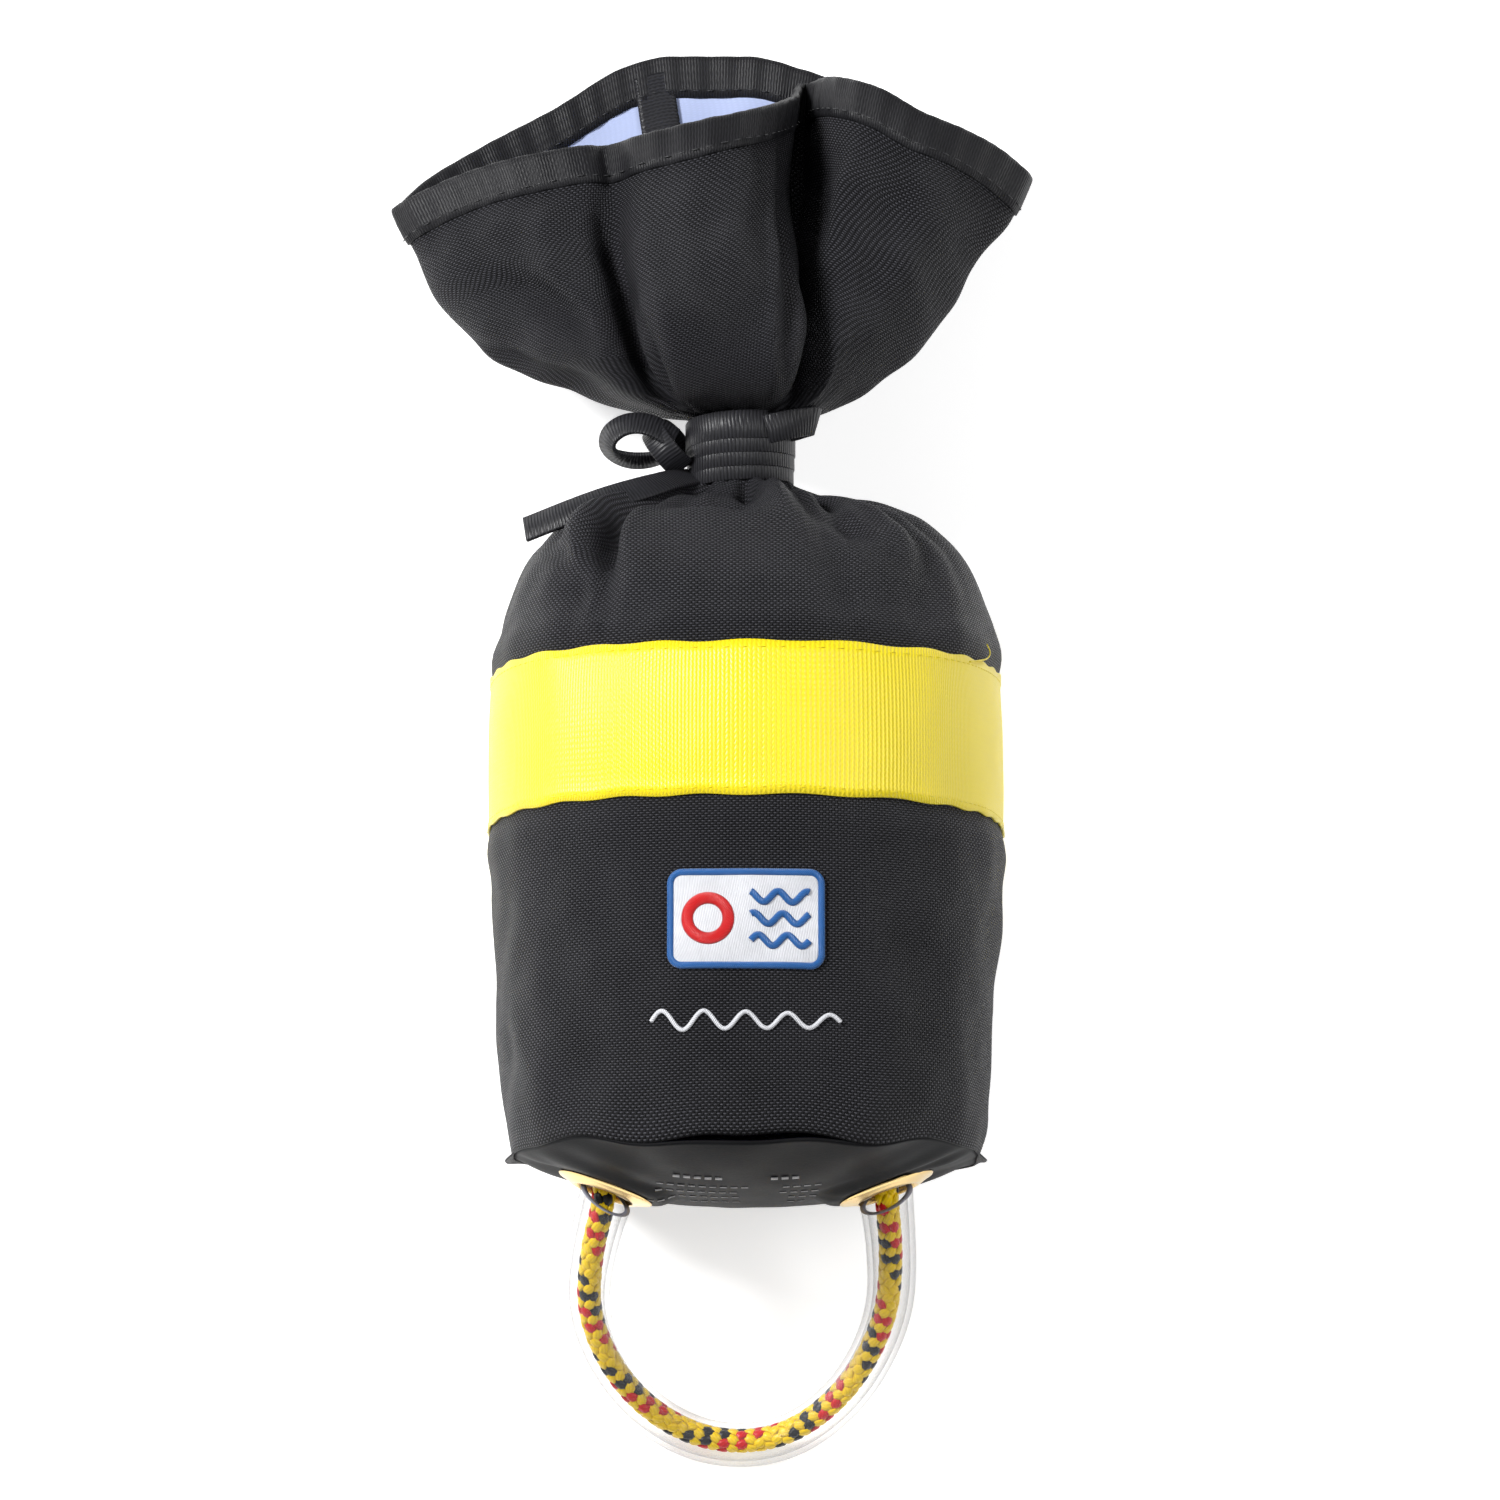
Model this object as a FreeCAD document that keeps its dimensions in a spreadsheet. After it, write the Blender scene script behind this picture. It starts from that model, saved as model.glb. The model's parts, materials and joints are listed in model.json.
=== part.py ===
"""Throw rope bag, lying on its back: a round cloth bag with a tied neck, a flared mouth and a rope handle.

Millimetres. +Z is up and the floor is Z = 0. The bag's length runs along Y: the handle is at -Y and the
mouth at +Y. The origin is on the floor under the bag's axis. A "station" is a distance along the bag from
its bottom seam, so Y = seam_y + station.
"""
import FreeCAD, Part
import math
import os
import re

from FreeCAD import Placement, Rotation, Vector

SIZES = {
    # where the bag lies
    "seam_y": -75,
    "axis_height": 71,
    # side panel
    "wall": 2.4,
    "seam_radius": 75.5,
    "low_belly_radius": 80.7,
    "low_belly_station": 50,
    "belly_radius": 83.4,
    "belly_station": 115,
    "high_belly_radius": 82.6,
    "high_belly_station": 146,
    "shoulder_radius": 80,
    "shoulder_station": 167,
    "crown_radius": 60,
    "crown_station": 202,
    "top_radius": 16,
    "top_station": 217,
    # gathered neck
    "neck_x": -2,
    "neck_height": 62,
    "neck_radius": 15.5,
    "neck_start": 208,
    "neck_end": 239,
    # bottom panel
    "dome_depth": 15,
    "dome_radius": 34,
    # eyelets
    "eyelet_x": 45,
    "eyelet_tilt": 19.9,
    "eyelet_bore_radius": 9.2,
    "eyelet_barrel_radius": 10.2,
    "eyelet_flange_radius": 16,
    "eyelet_sink": 0.6,
    "eyelet_proud": 0.9,
    "eyelet_barrel_depth": 4.2,
    "washer_radius": 15,
    "washer_depth": 2.5,
    "washer_thickness": 1.1,
    # yellow webbing band
    "band_station": 104,
    "band_width": 50,
    "band_thickness": 1.2,
    # badge and embroidery
    "badge_station": 64.5,
    "badge_length": 50,
    "badge_height": 32,
    "badge_corner": 4,
    "badge_border": 2.4,
    "badge_thickness": 0.8,
    "border_thickness": 1.2,
    "motif_thickness": 1.2,
    "ring_x": -12,
    "ring_radius": 8.5,
    "ring_hole_radius": 4.6,
    "embroidery_station": 32.5,
    "embroidery_length": 60,
    # seam tapes inside
    "tape_width": 13,
    "tape_thickness": 1,
    "tape_x": -35,
    # rope and handle
    "rope_radius": 4,
    "pivot_out": 3,
    "handle_slope": 41.5,
    "tube_radius": 8,
    "tube_bore_radius": 6,
    "tube_start": 10,
    "tail_gap": 4.6,
    "knot_radius": 11,
    "knot_station": 6,
    # inside
    "float_station": 22,
    "float_thickness": 18,
    "float_radius": 68,
    "line_station": 44,
    "line_length": 116,
    "line_radius": 72,
    "line_floor": 3.8,
    "end_loop_radius": 20,
    "end_loop_station": 172,
    # tie strap
    "strap_thickness": 2.4,
    "turn_width": 6.6,
    "turn_pitch": 7.1,
    "first_turn": 217.4,
    # mouth
    "cloth": 2,
    "binding_thickness": 1.2,
    "binding_width": 13,
    "rim_x": -11,
    "rim_radius": 131,
    "rim_front_station": 334,
    "rim_front_height": 65,
    "rim_lean": 30.1,
}

doc = FreeCAD.newDocument("throw_rope_bag")
sheet = doc.addObject("Spreadsheet::Sheet", "Sizes")
for row, (alias, value) in enumerate(SIZES.items(), start=1):
    sheet.set(f"A{row}", alias)
    sheet.set(f"B{row}", str(value))
    sheet.setAlias(f"B{row}", alias)
doc.recompute()

NODES = []
X_AXIS, Y_AXIS, Z_AXIS = Vector(1, 0, 0), Vector(0, 1, 0), Vector(0, 0, 1)
ALONG_BAG = Rotation(X_AXIS, -90)  # turns a primitive's own Z to +Y


def size(alias):
    """A driving dimension, read back from the sheet."""
    return float(sheet.get(alias))


def bound(text):
    """An expression in which each size's alias names its cell."""
    return re.sub(r"[a-z_]+", lambda m: "Sizes." + m[0] if m[0] in SIZES else m[0], text)


def node(piece, label):
    """Names a finished sub-part."""
    piece.Label = label
    NODES.append(piece)
    return piece


def place(piece, x="0", y="0", z="0", rotation=None):
    """Puts a primitive at a position given by expressions."""
    piece.Placement = Placement(Vector(0, 0, 0), rotation or Rotation())
    for letter, text in zip("xyz", (x, y, z)):
        piece.setExpression(f".Placement.Base.{letter}", bound(text))
    return piece


def primitive(kind, name, x="0", y="0", z="0", rotation=None, **sizes):
    """A Part primitive whose sizes follow the sheet."""
    piece = doc.addObject("Part::" + kind, name)
    for prop, text in sizes.items():
        piece.setExpression(prop, bound(text))
    return place(piece, x, y, z, rotation)


def cut(name, base, *tools):
    """The base without each tool in turn."""
    for index, tool in enumerate(tools):
        piece = doc.addObject("Part::Cut", f"{name}_{index}")
        piece.Base, piece.Tool = base, tool
        base = piece
    return base


def common(name, *shapes):
    piece = doc.addObject("Part::MultiCommon", name)
    piece.Shapes = list(shapes)
    return piece


def fuse(name, *shapes):
    piece = doc.addObject("Part::MultiFuse", name)
    piece.Shapes = list(shapes)
    return piece


def above(name, height):
    """Everything above a height, as a large box."""
    return primitive("Box", name, "-300", "-300", height, Length="600", Width="800", Height="400")


def slab(name, x, station, z, length, width, height):
    """A box whose corner is at a station along the bag."""
    y = f"seam_y + {station}"
    return primitive("Box", name, x, y, z, Length=length, Width=width, Height=height)


def disc(name, radius, station, length, x="0", z="axis_height"):
    """A cylinder lying along the bag from a station."""
    y = f"seam_y + {station}"
    return primitive("Cylinder", name, x, y, z, ALONG_BAG, Radius=radius, Height=length)


# ---------------------------------------------------------------- bag body


def side_form(name, inset, floor):
    """The side panel's round form, made smaller all over by inset, with its underside flat at a height."""
    low = -4 if inset > 0 else 0
    outline = [
        (size("seam_radius"), 0),
        (size("low_belly_radius"), size("low_belly_station")),
        (size("belly_radius"), size("belly_station")),
        (size("high_belly_radius"), size("high_belly_station")),
        (size("shoulder_radius"), size("shoulder_station")),
        (size("crown_radius"), size("crown_station")),
        (size("top_radius"), size("top_station")),
    ]
    p = [Vector(radius - inset, station, 0) for radius, station in outline]
    p[5] -= Vector(0, inset / 2, 0)
    p[6] -= Vector(0, inset, 0)
    foot = Vector(p[0].x, low, 0)
    edges = [Part.Arc(p[0], p[1], p[2]), Part.Arc(p[2], p[3], p[4]), Part.Arc(p[4], p[5], p[6])]
    edges += [
        Part.LineSegment(p[6], Vector(0, p[6].y, 0)),
        Part.LineSegment(Vector(0, p[6].y, 0), Vector(0, low, 0)),
        Part.LineSegment(Vector(0, low, 0), foot),
    ]
    if low:
        edges.append(Part.LineSegment(foot, p[0]))
    sketch = doc.addObject("Sketcher::SketchObject", name + "_outline")
    place(sketch, y="seam_y", z="axis_height")
    sketch.addGeometry(edges)
    turned = doc.addObject("Part::Revolution", name + "_turned")
    turned.Source = sketch
    turned.Axis, turned.Angle, turned.Solid = Y_AXIS, 360, True
    turned.setExpression(".Base.z", bound("axis_height"))
    return common(name, turned, above(name + "_room", floor))


body_form = side_form("body_form", 0, "0")
cavity_form = side_form("cavity_form", size("wall"), "wall")

band_room = slab("band_room", "-200", "band_station", "0", "400", "band_width", "300")
band_skin = common("band_skin", side_form("band_form", -size("band_thickness"), "0"), band_room)
node(cut("band", band_skin, side_form("band_seat", 0, "band_thickness")), "yellow_band")

neck = disc("neck", "neck_radius", "neck_start", "neck_end - neck_start", "neck_x", "neck_height")
bag_skin = cut("bag_skin", body_form, cavity_form, NODES[-1])
node(fuse("side", bag_skin, neck), "side_panel")


def dome(name, shift):
    """The bottom panel's dome: a shallow cone whose top is flat, moved inwards by shift."""
    y = f"seam_y - dome_depth + {shift}"
    sizes = {"Radius1": "dome_radius", "Radius2": "seam_radius", "Height": "dome_depth"}
    return primitive("Cone", name, "0", y, "axis_height", ALONG_BAG, **sizes)


dome_solid = common("dome_solid", dome("dome_outside", "0"), above("dome_room", "0"))
dome_hollow = common("dome_hollow", dome("dome_inside", "wall"), above("dome_floor", "wall"))


def eyelet_rotation(side):
    """Turns a primitive's own Z to the way an eyelet faces, out of the dome's flank."""
    lean = math.radians(size("eyelet_tilt"))
    return Rotation(Z_AXIS, Vector(side * math.sin(lean), -math.cos(lean), 0))


EYELET_STATION = "(seam_radius - eyelet_x) * dome_depth / (seam_radius - dome_radius)"


def eyelet_disc(name, side, radius, low, high):
    """A disc about an eyelet's axis, between two heights over the dome's flank."""
    x = f"{side} * (eyelet_x + ({low}) * sin(eyelet_tilt))"
    y = f"seam_y - {EYELET_STATION} - ({low}) * cos(eyelet_tilt)"
    height = f"({high}) - ({low})"
    return primitive("Cylinder", name, x, y, "axis_height", eyelet_rotation(side), Radius=radius, Height=height)


eyelet_seats = []
for side, hand in ((-1, "left"), (1, "right")):
    flange = eyelet_disc(f"flange_{hand}", side, "eyelet_flange_radius", "-eyelet_sink", "eyelet_proud")
    barrel = eyelet_disc(f"barrel_{hand}", side, "eyelet_barrel_radius", "-eyelet_barrel_depth", "0")
    bore = eyelet_disc(f"eyelet_bore_{hand}", side, "eyelet_bore_radius", "-9", "5")
    pressing = fuse(f"pressing_{hand}", flange, barrel)
    node(cut(f"eyelet_{hand}", pressing, bore), f"eyelet_{hand}")
    depths = "-washer_depth - washer_thickness", "-washer_depth"
    ring = eyelet_disc(f"washer_disc_{hand}", side, "washer_radius", *depths)
    node(cut(f"washer_{hand}", ring, barrel, bore), f"eyelet_washer_{hand}")
    eyelet_seats += [pressing, bore, ring]
node(cut("bottom", dome_solid, dome_hollow, *eyelet_seats), "bottom_panel")

# seam tapes inside the bag
outer_ring = disc("tape_outside", "seam_radius - wall - 0.2", "3", "12")
inner_ring = disc("tape_inside", "seam_radius - wall - 0.2 - tape_thickness", "0", "20")
ring_solid = common("tape_ring", outer_ring, above("tape_floor", "wall"))
ring_hollow = common("tape_hollow", inner_ring, above("tape_top", "wall + tape_thickness"))
node(cut("bottom_tape", ring_solid, ring_hollow), "bottom_seam_tape")
side_tape = slab("side_tape", "tape_x", "18", "wall", "tape_width", "145", "tape_thickness")
node(common("side_tape_fitted", side_tape, cavity_form), "side_seam_tape")

# ---------------------------------------------------------------- badge and embroidery


def on_cloth(name, prism, low, high):
    """The layer of a prism that lies between two heights over the side panel's cloth."""
    top = side_form(name + "_top", -high, "0")
    base = side_form(name + "_base", -low, "0")
    return cut(name, common(name + "_layer", prism, top), base)


def badge_prism(name, inset):
    """A rounded oblong that stands over the badge's place, inset from its edge."""
    box = slab(
        name + "_box",
        f"-badge_length / 2 + {inset}",
        f"(badge_station - badge_height / 2 + {inset})",
        "axis_height + 60",
        f"badge_length - 2 * {inset}",
        f"badge_height - 2 * {inset}",
        "60",
    )
    doc.recompute()
    prism = doc.addObject("Part::Fillet", name)
    prism.Base = box
    corner = max(size("badge_corner") - inset, 1)
    upright = [
        index + 1
        for index, edge in enumerate(box.Shape.Edges)
        if abs(edge.tangentAt(edge.FirstParameter).z) > 0.99
    ]
    prism.Edges = [(index, corner, corner) for index in upright]
    return prism


def wave_prism(name, x, station, length, height, thickness, count):
    """A wavy line, standing over the cloth: alternate arcs, each side the same curve."""
    step = length / count

    def arcs(shift, order):
        found = []
        for i in order:
            low = Vector(i * step, shift, 0)
            peak = Vector((i + 0.5) * step, shift + (height if i % 2 == 0 else -height), 0)
            found.append(Part.Arc(low, peak, Vector((i + 1) * step, shift, 0)))
        return found

    sketch = doc.addObject("Sketcher::SketchObject", name + "_outline")
    place(sketch, str(x), f"seam_y + {station}", "axis_height + 60")
    ends = [
        Part.LineSegment(Vector(length, -thickness / 2, 0), Vector(length, thickness / 2, 0)),
        Part.LineSegment(Vector(0, -thickness / 2, 0), Vector(0, thickness / 2, 0)),
    ]
    sketch.addGeometry(arcs(-thickness / 2, range(count)) + arcs(thickness / 2, range(count)) + ends)
    prism = doc.addObject("Part::Extrusion", name)
    prism.Base = sketch
    prism.Dir, prism.LengthFwd, prism.Solid = Z_AXIS, 60, True
    return prism


badge, border, motif = size("badge_thickness"), size("border_thickness"), size("motif_thickness")
badge_face = badge_prism("badge_face", size("badge_border"))
node(on_cloth("ground", badge_face, 0, badge), "badge_ground")
edge_outside, edge_inside = badge_prism("badge_outline", 0), badge_prism("badge_inside", size("badge_border"))
edge_prism = cut("badge_edge", edge_outside, edge_inside)
node(on_cloth("border", edge_prism, 0, border), "badge_border")

ring_place = {"x": "ring_x", "y": "seam_y + badge_station", "z": "axis_height + 60"}
ring_post = primitive("Cylinder", "ring_post", **ring_place, Radius="ring_radius", Height="60")
ring_hole = primitive("Cylinder", "ring_hole", **ring_place, Radius="ring_hole_radius", Height="60")
node(on_cloth("ring", cut("ring_tube", ring_post, ring_hole), badge, motif), "badge_ring")

waves = [wave_prism(f"wave_{i}", 1, f"(badge_station + {6 - 6 * i})", 19, 2.2, 2, 3) for i in range(3)]
node(on_cloth("waves", fuse("wave_group", *waves), badge, motif), "badge_waves")

length = size("embroidery_length")
line_prism = wave_prism("stitched_wave", -length / 2 + 2, "embroidery_station", length, 3.4, 2.4, 7)
node(on_cloth("stitched", line_prism, 0, badge), "embroidery_line")

# ---------------------------------------------------------------- handle

# The rope's route from one eyelet round the loop to the other: (across the bag, out from the pivots).
HANDLE_ROUTE = [
    (-45, 0),
    (-50, 22),
    (-51, 48),
    (-38, 77),
    (-15, 95),
    (11, 95),
    (32, 77),
    (45, 49),
    (47, 23),
    (45, 0),
]
PIVOT = Vector(
    0,
    size("seam_y")
    - (size("seam_radius") - size("eyelet_x")) * size("dome_depth") / (size("seam_radius") - size("dome_radius"))
    - size("pivot_out"),
    size("axis_height"),
)
slope = math.radians(size("handle_slope"))
OUTWARD = Vector(0, -math.cos(slope), -math.sin(slope))


def rounded_route(points, share=0.45):
    """Straight runs joined by tangent arcs, each arc as large as its two runs allow."""
    edges, start = [], points[0]
    for before, corner, after in zip(points, points[1:], points[2:]):
        back, on = (before - corner), (after - corner)
        reach = share * min(back.Length, on.Length)
        back.normalize()
        on.normalize()
        half_turn = (math.pi - back.getAngle(on)) / 2
        radius = reach / math.tan(half_turn)
        inside = (back + on).normalize()
        middle = corner + inside * (radius / math.cos(half_turn) - radius)
        enter, leave = corner + back * reach, corner + on * reach
        edges += [Part.LineSegment(start, enter).toShape(), Part.Arc(enter, middle, leave).toShape()]
        print(f"handle arc radius {radius:.1f} mm")
        start = leave
    edges.append(Part.LineSegment(start, points[-1]).toShape())
    return Part.Wire(edges)


def swept(name, route, radius):
    """A round section, swept along a route."""
    wire = rounded_route(route)
    spine = doc.addObject("Part::Feature", name + "_route")
    spine.Shape = wire
    section = doc.addObject("Part::Circle", name + "_section")
    section.setExpression("Radius", bound(radius))
    section.Placement = Placement(route[0], Rotation(Z_AXIS, route[1] - route[0]))
    sweep = doc.addObject("Part::Sweep", name)
    sweep.Sections = [section]
    sweep.Spine = (spine, [f"Edge{i + 1}" for i in range(len(wire.Edges))])
    sweep.Solid, sweep.Frenet = True, False
    expected = math.pi * size(radius) ** 2 * wire.Length
    return sweep, expected


handle_route = [PIVOT + X_AXIS * across + OUTWARD * out for across, out in HANDLE_ROUTE]


def shortened(route, by):
    """The same route, begun and ended further along its first and last runs."""
    first, last = route[1] - route[0], route[-2] - route[-1]
    return [route[0] + first * (by / first.Length), *route[1:-1], route[-1] + last * (by / last.Length)]


tube_route = shortened(handle_route, size("tube_start"))
rope_sweep, rope_volume = swept("rope_sweep", handle_route, "rope_radius")
tube_outside, tube_volume = swept("tube_outside", tube_route, "tube_radius")
bore_route = shortened(handle_route, size("tube_start") - 3)
tube_inside, bore_volume = swept("tube_inside", bore_route, "tube_bore_radius")
node(cut("tube", tube_outside, tube_inside), "handle_tube")

ends = []
for side, hand in ((-1, "left"), (1, "right")):
    spot = {"x": f"{side} * eyelet_x", "y": f"seam_y - {EYELET_STATION} - pivot_out", "z": "axis_height"}
    ends.append(primitive("Sphere", f"rope_end_{hand}", **spot, Radius="rope_radius"))
node(fuse("handle_line", rope_sweep, *ends), "handle_rope")

# ---------------------------------------------------------------- rope and float inside

TAIL_START = f"(-{EYELET_STATION} - pivot_out + tail_gap)"
for side, hand in ((-1, "left"), (1, "right")):
    x = f"{side} * eyelet_x"
    tail = disc(f"tail_{hand}", "rope_radius", TAIL_START, f"knot_station - {TAIL_START}", x)
    knot = primitive("Sphere", f"knot_{hand}", x, "seam_y + knot_station", "axis_height", Radius="knot_radius")
    node(cut(f"tail_{hand}_cut", tail, knot), f"rope_tail_{hand}")
    node(knot, f"stopper_knot_{hand}")

lead = disc("lead", "rope_radius", "knot_station", "line_station - knot_station", "eyelet_x")
lead_hole = disc("lead_hole", "rope_radius + 1", "10", "40", "eyelet_x")
node(cut("lead_cut", lead, NODES[-1]), "line_lead_in")

foam_round = disc("foam_round", "float_radius", "float_station", "float_thickness")
float_flat = common("float_flat", foam_round, above("float_room", "line_floor"))
node(cut("float_cut", float_flat, lead_hole), "float_disc")

line_disc = disc("line_disc", "line_radius", "line_station", "line_length")
doc.recompute()
line_round = doc.addObject("Part::Fillet", "line_round")
line_round.Base = line_disc
rims = [i + 1 for i, edge in enumerate(line_disc.Shape.Edges) if edge.Curve.TypeId == "Part::GeomCircle"]
line_round.Edges = [(index, 14, 14) for index in rims]
node(common("line_pile", line_round, above("line_room", "line_floor")), "throw_line")

loop_y = "seam_y + end_loop_station"
loop_sizes = {"Radius1": "end_loop_radius", "Radius2": "rope_radius"}
end_loop = primitive("Torus", "end_loop", "0", loop_y, "axis_height", ALONG_BAG, **loop_sizes)
node(end_loop, "line_end_loop")

# ---------------------------------------------------------------- tie strap on the neck

turns = []
for i in range(3):
    station = f"(first_turn + {i} * turn_pitch)"
    sizes = {"x": "neck_x", "z": "neck_height"}
    band = disc(f"turn_{i}", "neck_radius + strap_thickness", station, "turn_width", **sizes)
    hole = disc(f"turn_hole_{i}", "neck_radius", f"({station} - 1)", "turn_width + 2", **sizes)
    turns.append(cut(f"turn_ring_{i}", band, hole))
node(fuse("wraps", *turns), "tie_wraps")

tie_room = disc("tie_room", "neck_radius + strap_thickness", "200", "60", "neck_x", "neck_height")
knot_lump = primitive("Sphere", "tie_lump", "-27.3", "seam_y + 231", "66", Radius="7.5")
node(knot_lump, "tie_knot")

bow_sizes = {"Radius1": "6.5", "Radius2": "2.6"}
left_loop = primitive("Torus", "bow_left", "-38", "seam_y + 231", "65", **bow_sizes)
node(cut("bow_left_cut", left_loop, knot_lump), "tie_bow_left")
right_loop = primitive("Torus", "bow_right", "neck_x + 26", "seam_y + 231", "66", **bow_sizes)
node(cut("bow_right_cut", right_loop, tie_room), "tie_bow_right")

tail_turn = Rotation(Z_AXIS, 180 + 16.5)
tie_tail = primitive(
    "Box", "tie_strap_end", "-12", "seam_y + 233.5", "70", tail_turn, Length="62", Width="9.6", Height="1.6"
)
node(cut("tie_tail_cut", tie_tail, tie_room, knot_lump), "tie_tail")

# ---------------------------------------------------------------- flared mouth

# Sections of the funnel: station, centre across the bag, half width, top height, underside height.
FUNNEL = [
    (241.5, -4, 10, 64.2, 59.8),
    (250, -12, 47, 75.5, 48.5),
    (268, -15, 70, 99, 20),
    (292, -14, 87, 103, 1.2),
    (325, -12, 102, 84, 0.8),
    (374, -10, 112, 62, 0.8),
]


def funnel(name, grow, first=0):
    """The mouth's funnel, lofted through ellipses, each grown all round."""
    rings = []
    for i, (station, across, half, top, under) in enumerate(FUNNEL[first:]):
        ring = doc.addObject("Part::Ellipse", f"{name}_ring_{i}")
        half_height = (top - under) / 2
        ring.MajorRadius, ring.MinorRadius = half + grow, half_height + grow
        place(ring, str(across), f"seam_y + {station}", str(under + half_height), Rotation(X_AXIS, 90))
        rings.append(ring)
    loft = doc.addObject("Part::Loft", name)
    loft.Sections = rings
    loft.Solid, loft.Ruled = True, False
    return loft


def rim_room(name, back):
    """The room inside the mouth's rim, drawn back: within a radius of the neck, behind a leaning plane."""
    room = primitive(
        "Cylinder",
        name + "_round",
        "rim_x",
        "seam_y + neck_end",
        "0",
        Radius=f"rim_radius - {back}",
        Height="200",
    )
    lean = math.radians(size("rim_lean"))
    beyond = primitive(
        "Box",
        name + "_beyond",
        "-300",
        f"seam_y + rim_front_station - {back} * cos(rim_lean) + {200 * math.sin(lean)}",
        f"rim_front_height - {back} * sin(rim_lean) - {200 * math.cos(lean)}",
        Rotation(X_AXIS, size("rim_lean")),
        Length="600",
        Width="200",
        Height="400",
    )
    return cut(name, room, beyond)


cloth, tape = size("cloth"), size("binding_thickness")
mouth_outside = funnel("mouth_outside", 0)
mouth_inside = funnel("mouth_inside", -cloth, first=1)
rim = rim_room("rim", 0)
mouth_cup = common("mouth_cup", mouth_outside, rim, above("mouth_floor", "0"))
node(cut("mouth", mouth_cup, mouth_inside), "mouth_flare")

binding_outside, binding_rim = funnel("binding_outside", tape), rim_room("binding_rim", -tape)
binding_cup = common("binding_cup", binding_outside, binding_rim, above("binding_floor", "0"))
binding_hollow = funnel("binding_inside", -cloth - tape, first=1)
node(cut("binding", binding_cup, binding_hollow, rim_room("binding_edge", 13), NODES[-1]), "mouth_binding")

tape_room = slab("mouth_tape_room", "tape_x", "262", "0", "tape_width", "120", "40")
tape_cup = common("mouth_tape_cup", mouth_inside, tape_room, rim_room("tape_rim", 13.2))
tape_hollow = funnel("tape_hollow_form", -cloth - size("tape_thickness"), first=1)
node(cut("mouth_tape", tape_cup, tape_hollow), "mouth_seam_tape")

# ---------------------------------------------------------------- check and write

doc.recompute()
for piece in doc.Objects:
    if "Invalid" in piece.State or "Error" in piece.State:
        raise RuntimeError(f"{piece.Name} failed: {piece.State}")
for sweep, expected in ((rope_sweep, rope_volume), (tube_outside, tube_volume), (tube_inside, bore_volume)):
    print(f"{sweep.Name}: {sweep.Shape.Volume:.0f} of {expected:.0f} mm3")

os.makedirs("parts", exist_ok=True)
for piece in NODES:
    shape = piece.Shape
    if shape.isNull() or not shape.isValid() or not shape.Solids:
        raise RuntimeError(f"{piece.Label} has no valid solid")
    shape.exportStep(f"parts/{piece.Label}.step")
    box = shape.optimalBoundingBox()
    print(
        f"{piece.Label}: {len(shape.Solids)} solid, {shape.Volume / 1000:.2f} cm3,"
        f" x {box.XMin:.1f}..{box.XMax:.1f} y {box.YMin:.1f}..{box.YMax:.1f} z {box.ZMin:.1f}..{box.ZMax:.1f}"
    )
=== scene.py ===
"""Throw rope bag: the looks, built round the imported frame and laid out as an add-on.

Metres. The bag lies on its back along Y, its handle at -Y and its mouth at +Y, with the floor at Z = 0.
A "reach" is a distance along the bag's cloth from the bottom seam; "round" runs once round the cloth, 0 to 1,
from the bag's left side over the front to the right and back underneath.
"""
import json
import math

import bmesh
import bpy
import numpy as np
from bpy.props import FloatProperty, FloatVectorProperty, IntProperty, PointerProperty
from mathutils import Matrix, Vector, noise

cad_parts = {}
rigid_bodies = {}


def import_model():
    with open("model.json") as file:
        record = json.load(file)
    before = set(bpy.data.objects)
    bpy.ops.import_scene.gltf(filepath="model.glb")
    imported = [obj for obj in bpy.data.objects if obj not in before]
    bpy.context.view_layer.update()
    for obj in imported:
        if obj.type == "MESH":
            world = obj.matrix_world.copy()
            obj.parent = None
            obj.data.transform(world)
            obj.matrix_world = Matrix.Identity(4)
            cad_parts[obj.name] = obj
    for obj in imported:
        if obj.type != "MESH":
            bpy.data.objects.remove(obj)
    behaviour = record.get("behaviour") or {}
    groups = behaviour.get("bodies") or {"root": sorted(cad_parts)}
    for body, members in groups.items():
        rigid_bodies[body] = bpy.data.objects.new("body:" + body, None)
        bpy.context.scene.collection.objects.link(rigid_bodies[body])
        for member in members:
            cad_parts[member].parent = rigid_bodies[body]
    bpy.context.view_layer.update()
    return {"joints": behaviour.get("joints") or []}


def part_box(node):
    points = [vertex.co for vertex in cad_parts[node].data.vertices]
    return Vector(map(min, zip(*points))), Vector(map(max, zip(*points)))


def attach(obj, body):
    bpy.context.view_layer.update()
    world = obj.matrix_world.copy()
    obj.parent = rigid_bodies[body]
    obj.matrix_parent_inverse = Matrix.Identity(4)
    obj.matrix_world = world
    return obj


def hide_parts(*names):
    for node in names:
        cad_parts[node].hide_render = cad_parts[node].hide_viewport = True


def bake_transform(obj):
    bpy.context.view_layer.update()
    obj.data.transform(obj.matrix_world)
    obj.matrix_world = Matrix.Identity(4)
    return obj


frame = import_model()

bl_info = {
    "name": "Throw Rope Bag",
    "version": (1, 0, 0),
    "blender": (4, 5, 0),
    "location": "View3D > Sidebar > Throw Bag",
    "description": "Builds the soft and finished pieces of a throw rope bag round its CAD frame",
    "category": "Add Mesh",
}

MM = 0.001
JOINTS = {joint["name"]: joint for joint in frame["joints"]}
PIVOT = Vector(JOINTS["handle_swing"]["pos_m"])
NECK = Vector(JOINTS["mouth_fold"]["pos_m"])
SEAM_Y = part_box("side_panel")[0].y
AXIS_Z = PIVOT.z


def colour(name, default, description):
    """A colour property with its default."""
    return FloatVectorProperty(
        name=name, description=description, default=default, subtype="COLOR", size=3, min=0, max=1
    )


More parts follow.
